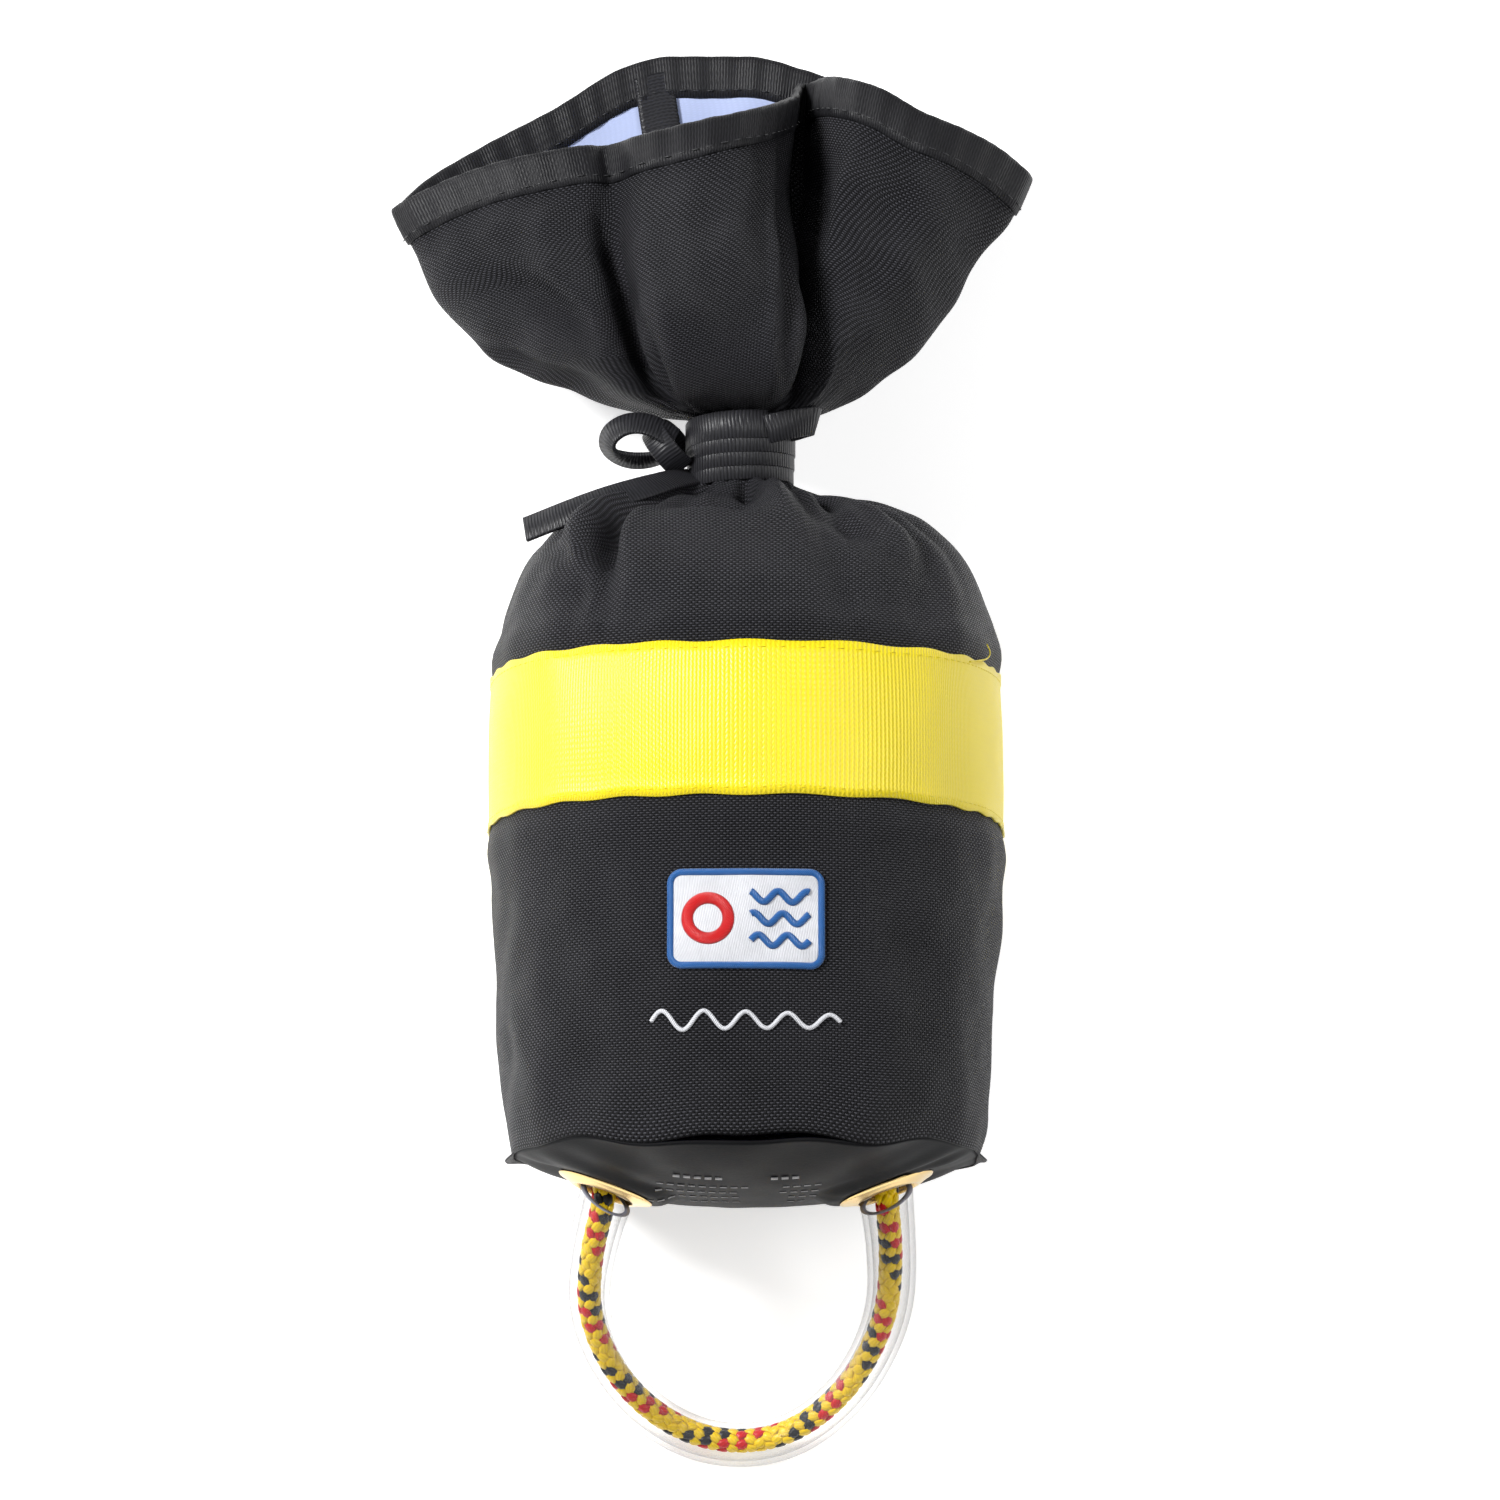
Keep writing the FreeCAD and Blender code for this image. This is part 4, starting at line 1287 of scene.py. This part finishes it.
def bottom_y(x, z, seam_y):
    """How far out the bottom panel bulges at a place, given its seam's own y."""
    radius = np.hypot(x, z - AXIS_Z) / BOTTOM_RADIUS
    dome = SEAM_Y - 0.015 * (1 - np.minimum(radius, 1) ** 2.6)
    y = dome + (seam_y - SEAM_Y) * np.minimum(radius, 1) ** 5
    eyelet_y = EYELET_Y + (abs(x) - EYELET_X) * math.tan(EYELET_LEAN) + 0.2 * MM
    off = np.hypot((abs(x) - EYELET_X) / math.cos(EYELET_LEAN), z - AXIS_Z)
    near = np.clip((0.026 - off) / 0.010, 0, 1)
    return y + (eyelet_y - y) * near * near * (3 - 2 * near)


def make_bottom():
    """The smooth bottom panel, its hem and the worn print on it."""
    cloth = BAG["cloth"]

    def panel(first, second, lift=0.0):
        seam = cloth.at(first, 0 * first, -0.4 * MM)
        share = 1 - second
        x = seam[:, 0] * share
        z = AXIS_Z + (seam[:, 2] - AXIS_Z) * share
        y = bottom_y(x, z, seam[:, 1])
        turn = first * 2 * math.pi
        pucker = 0.7 * np.sin(turn * 11) + 0.6 * np.sin(turn * 17 + 1) + 0.5 * np.sin(turn * 5 + 2)
        y = y - lift + pucker * MM * share**5 * (1 - share) * 8
        return np.stack([x, y, z], -1)

    bm = outward(sheet(200, 44, panel, closed=True, uv=(0.47, 0.075)), (0, 0, AXIS_Z))
    disc = finished(bm, "bottom_panel_vinyl", [FINISHES["vinyl"]], "bag")
    thicken(disc, 0.9 * MM, -1)
    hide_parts("bottom_panel")

    def hem(first, second):
        seam = cloth.at(first, 0 * first, -0.3 * MM)
        away = seam - np.array([0, SEAM_Y + 0.02, AXIS_Z])
        away /= np.linalg.norm(away, axis=1, keepdims=True)
        ears = bump_at(first, 0.0, 0.03) + bump_at(first, 1.0, 0.03) + bump_at(first, RIGHT_ROUND, 0.03)
        wide = (0.08 + 2.6 * ears) * MM
        drop = np.array([0, -0.55, -0.18])
        point = seam + (away + drop) * (wide * second)[:, None]
        point[:, 2] = np.maximum(point[:, 2], 0.4 * MM)
        return point

    bm = sheet(232, 4, hem, closed=True, uv=(0.47, 0.004))
    tape = finished(bm, "bottom_hem", [FINISHES["tape"]], "bag")
    thicken(tape, 0.6 * MM, 0)
    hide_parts("bottom_seam_tape")

    # The print's rows in mm: (height, tall, groups of dashes as (middle, how many))
    rows = [
        (106.5, 5.6, [(-15.5, 5), (12.5, 3)]),
        (95.5, 2.6, [(-14, 9), (18, 4)]),
        (87.0, 2.4, [(-16, 8), (17, 4)]),
        (78.0, 2.4, [(-17, 9), (18, 3)]),
        (67.5, 2.2, [(-10, 5), (16, 2)]),
    ]
    bm = bmesh.new()
    for height, tall, groups in rows:
        for middle, marks in groups:
            for k in range(marks):
                x = (middle + (k - (marks - 1) / 2) * 3.4) * MM
                step = bmesh.ops.create_grid(bm, x_segments=2, y_segments=2, size=0.5)["verts"]
                for vert in step:
                    px, pz = x + vert.co.x * 2.2 * MM, height * MM + vert.co.y * tall * 0.5 * MM
                    vert.co = (px, float(bottom_y(px, pz, SEAM_Y - 0.0034)) - 0.15 * MM, pz)
    bmesh.ops.recalc_face_normals(bm, faces=bm.faces)
    marks = finished(outward(bm, (0, 0, AXIS_Z)), "printed_dashes", [FINISHES["ink"]], "bag")
    thicken(marks, 0.1 * MM, 0)


def make_eyelets():
    """Two brass eyelets, spun from one rolled section of (radius, height) corners in mm."""
    section = [
        (9.2, -3.2), (9.2, 1.0), (9.5, 1.9), (10.2, 2.35), (11.0, 2.3), (12.4, 1.7),
        (14.2, 1.1), (15.5, 0.75), (16.0, 0.3), (15.7, -0.1), (10.3, -0.2), (10.1, -3.2),
    ]
    for hand, side in (("left", -1), ("right", 1)):
        bm = bmesh.new()
        verts = [bm.verts.new((r * MM, 0, h * MM)) for r, h in section]
        edges = [bm.edges.new((a, b)) for a, b in zip(verts, verts[1:] + verts[:1])]
        bmesh.ops.spin(bm, geom=verts + edges, cent=(0, 0, 0), axis=(0, 0, 1), angle=2 * math.pi, steps=56)
        bmesh.ops.remove_doubles(bm, verts=bm.verts, dist=1e-6)
        bmesh.ops.recalc_face_normals(bm, faces=bm.faces)
        normal = Vector((side * math.sin(EYELET_LEAN), -math.cos(EYELET_LEAN), 0))
        turn = Vector((0, 0, 1)).rotation_difference(normal).to_matrix().to_4x4()
        bm.transform(Matrix.Translation((side * EYELET_X, EYELET_Y, AXIS_Z)) @ turn)
        eyelet = finished(bm, f"eyelet_{hand}_brass", [FINISHES["brass"]], "bag")
        bevel = eyelet.modifiers.new("Edges", "BEVEL")
        bevel.width, bevel.segments = 0.12 * MM, 2
        bevel.limit_method, bevel.angle_limit = "ANGLE", math.radians(50)
        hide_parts(f"eyelet_{hand}")


def strap_piece(name, points, ups, node, closed=False, width=None):
    """One piece of the tie strap, standing in for its CAD node."""
    size = sizes()
    bm = strap(points, width or size.strap_width, size.strap_thickness, ups, closed)
    piece = finished(bm, name, [FINISHES["strap"]], "bag")
    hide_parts(node)


def stations(rows):
    """Points in metres from (across, station, height) rows in millimetres."""
    return [(x * MM, SEAM_Y + station * MM, z * MM) for x, station, z in rows]


def make_tie():
    """The ribbed strap round the neck, its knot, its two bow loops and its tail."""
    turns = 3.25
    a = np.linspace(math.radians(150), math.radians(150) - turns * 2 * math.pi, 150)
    t = np.linspace(0, 1, 150)
    out = 16.4 + 1.0 * t + 0.35 * np.sin(a * 3 + 1) + 0.5 * np.sin(t * 40)
    station = 221.6 + 14.4 * t + 0.7 * np.sin(a + 0.6)
    points = np.stack([-2 + out * np.cos(a) * 1.02, station, 62 + out * np.sin(a)], 1)
    ups = np.stack([np.cos(a), 0 * a, np.sin(a)], 1)
    strap_piece("tie_strap_turns", stations(points), ups, "tie_wraps")

    knot = [
        (-22, 224, 73), (-25.5, 227, 78), (-29, 232, 77), (-30.5, 236.5, 70),
        (-28, 238, 61), (-23, 234, 58), (-20.5, 228, 61), (-20, 224, 67),
    ]
    ring = rounded(stations(knot), 3, closed=True)
    line = even(ring + ring[:1], 61)[:-1]
    ups = line - line.mean(0)
    strap_piece("tie_knot_strap", line, ups, "tie_knot", closed=True, width=8.6 * MM)

    loop = [
        (-23, 232, 75), (-30, 236.5, 77), (-38, 237.5, 76), (-44.5, 234, 73),
        (-45, 229, 70), (-38, 226.2, 67), (-30, 226.6, 67), (-23, 229, 69),
    ]
    line = even(rounded(stations(loop), 3), 60)
    ups = (line - line.mean(0)) / (9 * MM) * (0.8, 1.0, 0.3) + np.array([0.1, -0.2, 0.42])
    strap_piece("tie_bow_left_strap", line, ups, "tie_bow_left")

    loop = [
        (1, 233.5, 76.5), (7, 235, 77.5), (13, 236.5, 76.5), (18.5, 238, 74), (23, 239, 70.5),
        (22, 238.5, 67), (16, 237, 66), (10, 235.5, 67), (6, 233.5, 67),
    ]
    line = even(rounded(stations(loop), 3), 66)
    ups = (line - line.mean(0)) / (9 * MM) * (0.5, 0.2, 0.9) + np.array([0, -0.2, 0.2])
    strap_piece("tie_bow_right_strap", line, ups, "tie_bow_right")

    tail = [
        (-16, 221, 68), (-23, 218.5, 79), (-31, 214.5, 88),
        (-45, 209.3, 94), (-58, 204.4, 94), (-71, 200.0, 89),
    ]
    line = even(rounded(stations(tail), 3), 60)
    ups = np.tile((-0.15, 0.42, 0.90), (60, 1))
    strap_piece("tie_tail_strap", line, ups, "tie_tail")


def make_mouth_trim():
    """The tape folded over the mouth's edge, its stitches and the seam tape inside."""
    size, cloth = sizes(), BAG["cloth"]
    over = size.binding / MM
    skin = size.cloth / MM
    # The tape's section in mm: (how far back from the rim, how far off the cloth), from outside to inside
    section = [
        (over, 0.05), (over - 0.2, 0.8), (over * 0.75, 1.05), (over * 0.4, 1.05), (1.2, 1.0), (0, 0.9),
        (-0.9, 0.5), (-1.2, -0.35), (-0.9, -1.2), (0, -skin - 0.9), (1.2, -skin - 1.0),
        (over * 0.4, -skin - 1.05), (over * 0.75, -skin - 1.05), (over - 0.2, -skin - 0.8), (over, -skin),
    ]
    back, lift = np.array(section).T * MM
    corners = len(section)

    def shape(first, second):
        k = np.rint(second * corners).astype(int) % corners
        pucker = 0.3 * MM * np.sin(first * 2 * math.pi * 60) * np.sign(lift[k])
        on = cloth.at(first, RIM_REACH - np.maximum(back[k], 0), lift[k] + pucker)
        ahead = cloth.at(first, RIM_REACH) - cloth.at(first, RIM_REACH - 3 * MM)
        ahead /= np.linalg.norm(ahead, axis=1, keepdims=True)
        point = on + ahead * np.maximum(-back[k], 0)[:, None]
        point[:, 2] = np.maximum(point[:, 2], 0.15 * MM)
        return point

    bm = closed_form(400, corners, shape, (0.49, 0.030), capped=False)
    trim = finished(bm, "mouth_binding_tape", [FINISHES["tape"]], "mouth")
    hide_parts("mouth_binding")

    rounds = np.linspace(0, 1, 118, endpoint=False)
    for name, height in (("outside", 1.15 * MM), ("inside", -size.cloth - 1.15 * MM)):
        bm = stitch_row(cloth, rounds, RIM_REACH - size.binding + 2.5 * MM, height, 3.2 * MM, 0.55 * MM)
        finished(bm, f"mouth_stitches_{name}", [FINISHES["black_stitch"]], "mouth")

    places = np.linspace(0.62, 0.98, 800)
    middle = float(places[np.argmin(abs(RIM_CURVES[0](places) + 31))])

    def tape(first, second):
        reach = NECK_REACH + 0.030 + (MOUTH_REACH - 0.034) * second
        wide = 0.5 * 13 * MM * (2 * first - 1)
        here, there = cloth.at(middle, reach), cloth.at(middle + 0.01, reach)
        spread = np.linalg.norm(there - here, axis=-1) / 0.01
        return cloth.at(middle + wide / spread, reach, -size.cloth - 0.7 * MM)

    bm = sheet(8, 60, tape, uv=(13 * MM, 0.1))
    inner = finished(bm, "mouth_seam_tape_inside", [FINISHES["strap"]], "mouth")
    thicken(inner, 0.9 * MM, 0)
    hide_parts("mouth_seam_tape")


INNER_FINISHES = {
    "black_cloth": "inner_cloth",
    "black_webbing": "inner_tape",
    "yellow_rope": "inner_rope",
    "brass": "inner_brass",
    "grey_foam": "foam",
}


def dress_inner_parts():
    """Procedural finishes for the CAD parts that stay as they are, inside the bag."""
    for part in bpy.data.objects:
        for slot in part.material_slots:
            if slot.material and slot.material.name in INNER_FINISHES and part.name in frame_nodes():
                slot.material = FINISHES[INNER_FINISHES[slot.material.name]]


def frame_nodes():
    return {part.name for part in bpy.data.objects if part.parent and part.parent.name == "body:bag"}


class THROWBAG_OT_stage(bpy.types.Operator):
    """Sets up the camera, the floor and the studio light"""

    bl_idname = "throwbag.stage"
    bl_label = "Stage"

    def execute(self, context):
        make_stage()
        return {"FINISHED"}


class THROWBAG_OT_handle(bpy.types.Operator):
    """Makes the rope loop and its clear tube"""

    bl_idname = "throwbag.handle"
    bl_label = "Handle"

    def execute(self, context):
        make_handle()
        return {"FINISHED"}


class THROWBAG_OT_cloth(bpy.types.Operator):
    """Makes the side panel and the flared mouth"""

    bl_idname = "throwbag.cloth"
    bl_label = "Cloth"

    def execute(self, context):
        make_cloth()
        return {"FINISHED"}


class THROWBAG_OT_band(bpy.types.Operator):
    """Makes the yellow band and its stitches"""

    bl_idname = "throwbag.band"
    bl_label = "Band"

    def execute(self, context):
        make_band()
        return {"FINISHED"}


class THROWBAG_OT_badge(bpy.types.Operator):
    """Makes the patch and the embroidered line"""

    bl_idname = "throwbag.badge"
    bl_label = "Patch"

    def execute(self, context):
        make_badge()
        return {"FINISHED"}


class THROWBAG_OT_bottom(bpy.types.Operator):
    """Makes the bottom panel and its eyelets"""

    bl_idname = "throwbag.bottom"
    bl_label = "Bottom"

    def execute(self, context):
        make_bottom()
        make_eyelets()
        return {"FINISHED"}


class THROWBAG_OT_tie(bpy.types.Operator):
    """Makes the strap tied round the neck"""

    bl_idname = "throwbag.tie"
    bl_label = "Tie"

    def execute(self, context):
        make_tie()
        return {"FINISHED"}


class THROWBAG_OT_mouth_trim(bpy.types.Operator):
    """Makes the mouth's binding, stitches and seam tape"""

    bl_idname = "throwbag.mouth_trim"
    bl_label = "Mouth trim"

    def execute(self, context):
        make_mouth_trim()
        return {"FINISHED"}


class THROWBAG_OT_inner_parts(bpy.types.Operator):
    """Gives the parts inside the bag their finishes"""

    bl_idname = "throwbag.inner_parts"
    bl_label = "Inner parts"

    def execute(self, context):
        dress_inner_parts()
        return {"FINISHED"}


OPERATORS = [
    THROWBAG_OT_stage,
    THROWBAG_OT_handle,
    THROWBAG_OT_cloth,
    THROWBAG_OT_band,
    THROWBAG_OT_badge,
    THROWBAG_OT_bottom,
    THROWBAG_OT_tie,
    THROWBAG_OT_mouth_trim,
    THROWBAG_OT_inner_parts,
]


class THROWBAG_PT_panel(bpy.types.Panel):
    """Lists the bag's operators and sizes"""

    bl_label = "Throw Rope Bag"
    bl_idname = "THROWBAG_PT_panel"
    bl_space_type = "VIEW_3D"
    bl_region_type = "UI"
    bl_category = "Throw Bag"

    def draw(self, context):
        for operator in OPERATORS:
            self.layout.operator(operator.bl_idname)
        for group in (context.scene.bag_sizes, context.scene.bag_colours):
            box = self.layout.box()
            for name in group.bl_rna.properties.keys():
                if name not in {"rna_type", "name"}:
                    box.prop(group, name)


CLASSES = [BagSizes, BagColours, *OPERATORS, THROWBAG_PT_panel]


def register():
    for item in CLASSES:
        bpy.utils.register_class(item)
    bpy.types.Scene.bag_sizes = PointerProperty(type=BagSizes)
    bpy.types.Scene.bag_colours = PointerProperty(type=BagColours)


def unregister():
    del bpy.types.Scene.bag_sizes, bpy.types.Scene.bag_colours
    for item in reversed(CLASSES):
        bpy.utils.unregister_class(item)


def main():
    register()
    make_finishes()
    for operator in OPERATORS:
        group, name = operator.bl_idname.split(".")
        getattr(getattr(bpy.ops, group), name)()


if __name__ == "__main__":
    main()
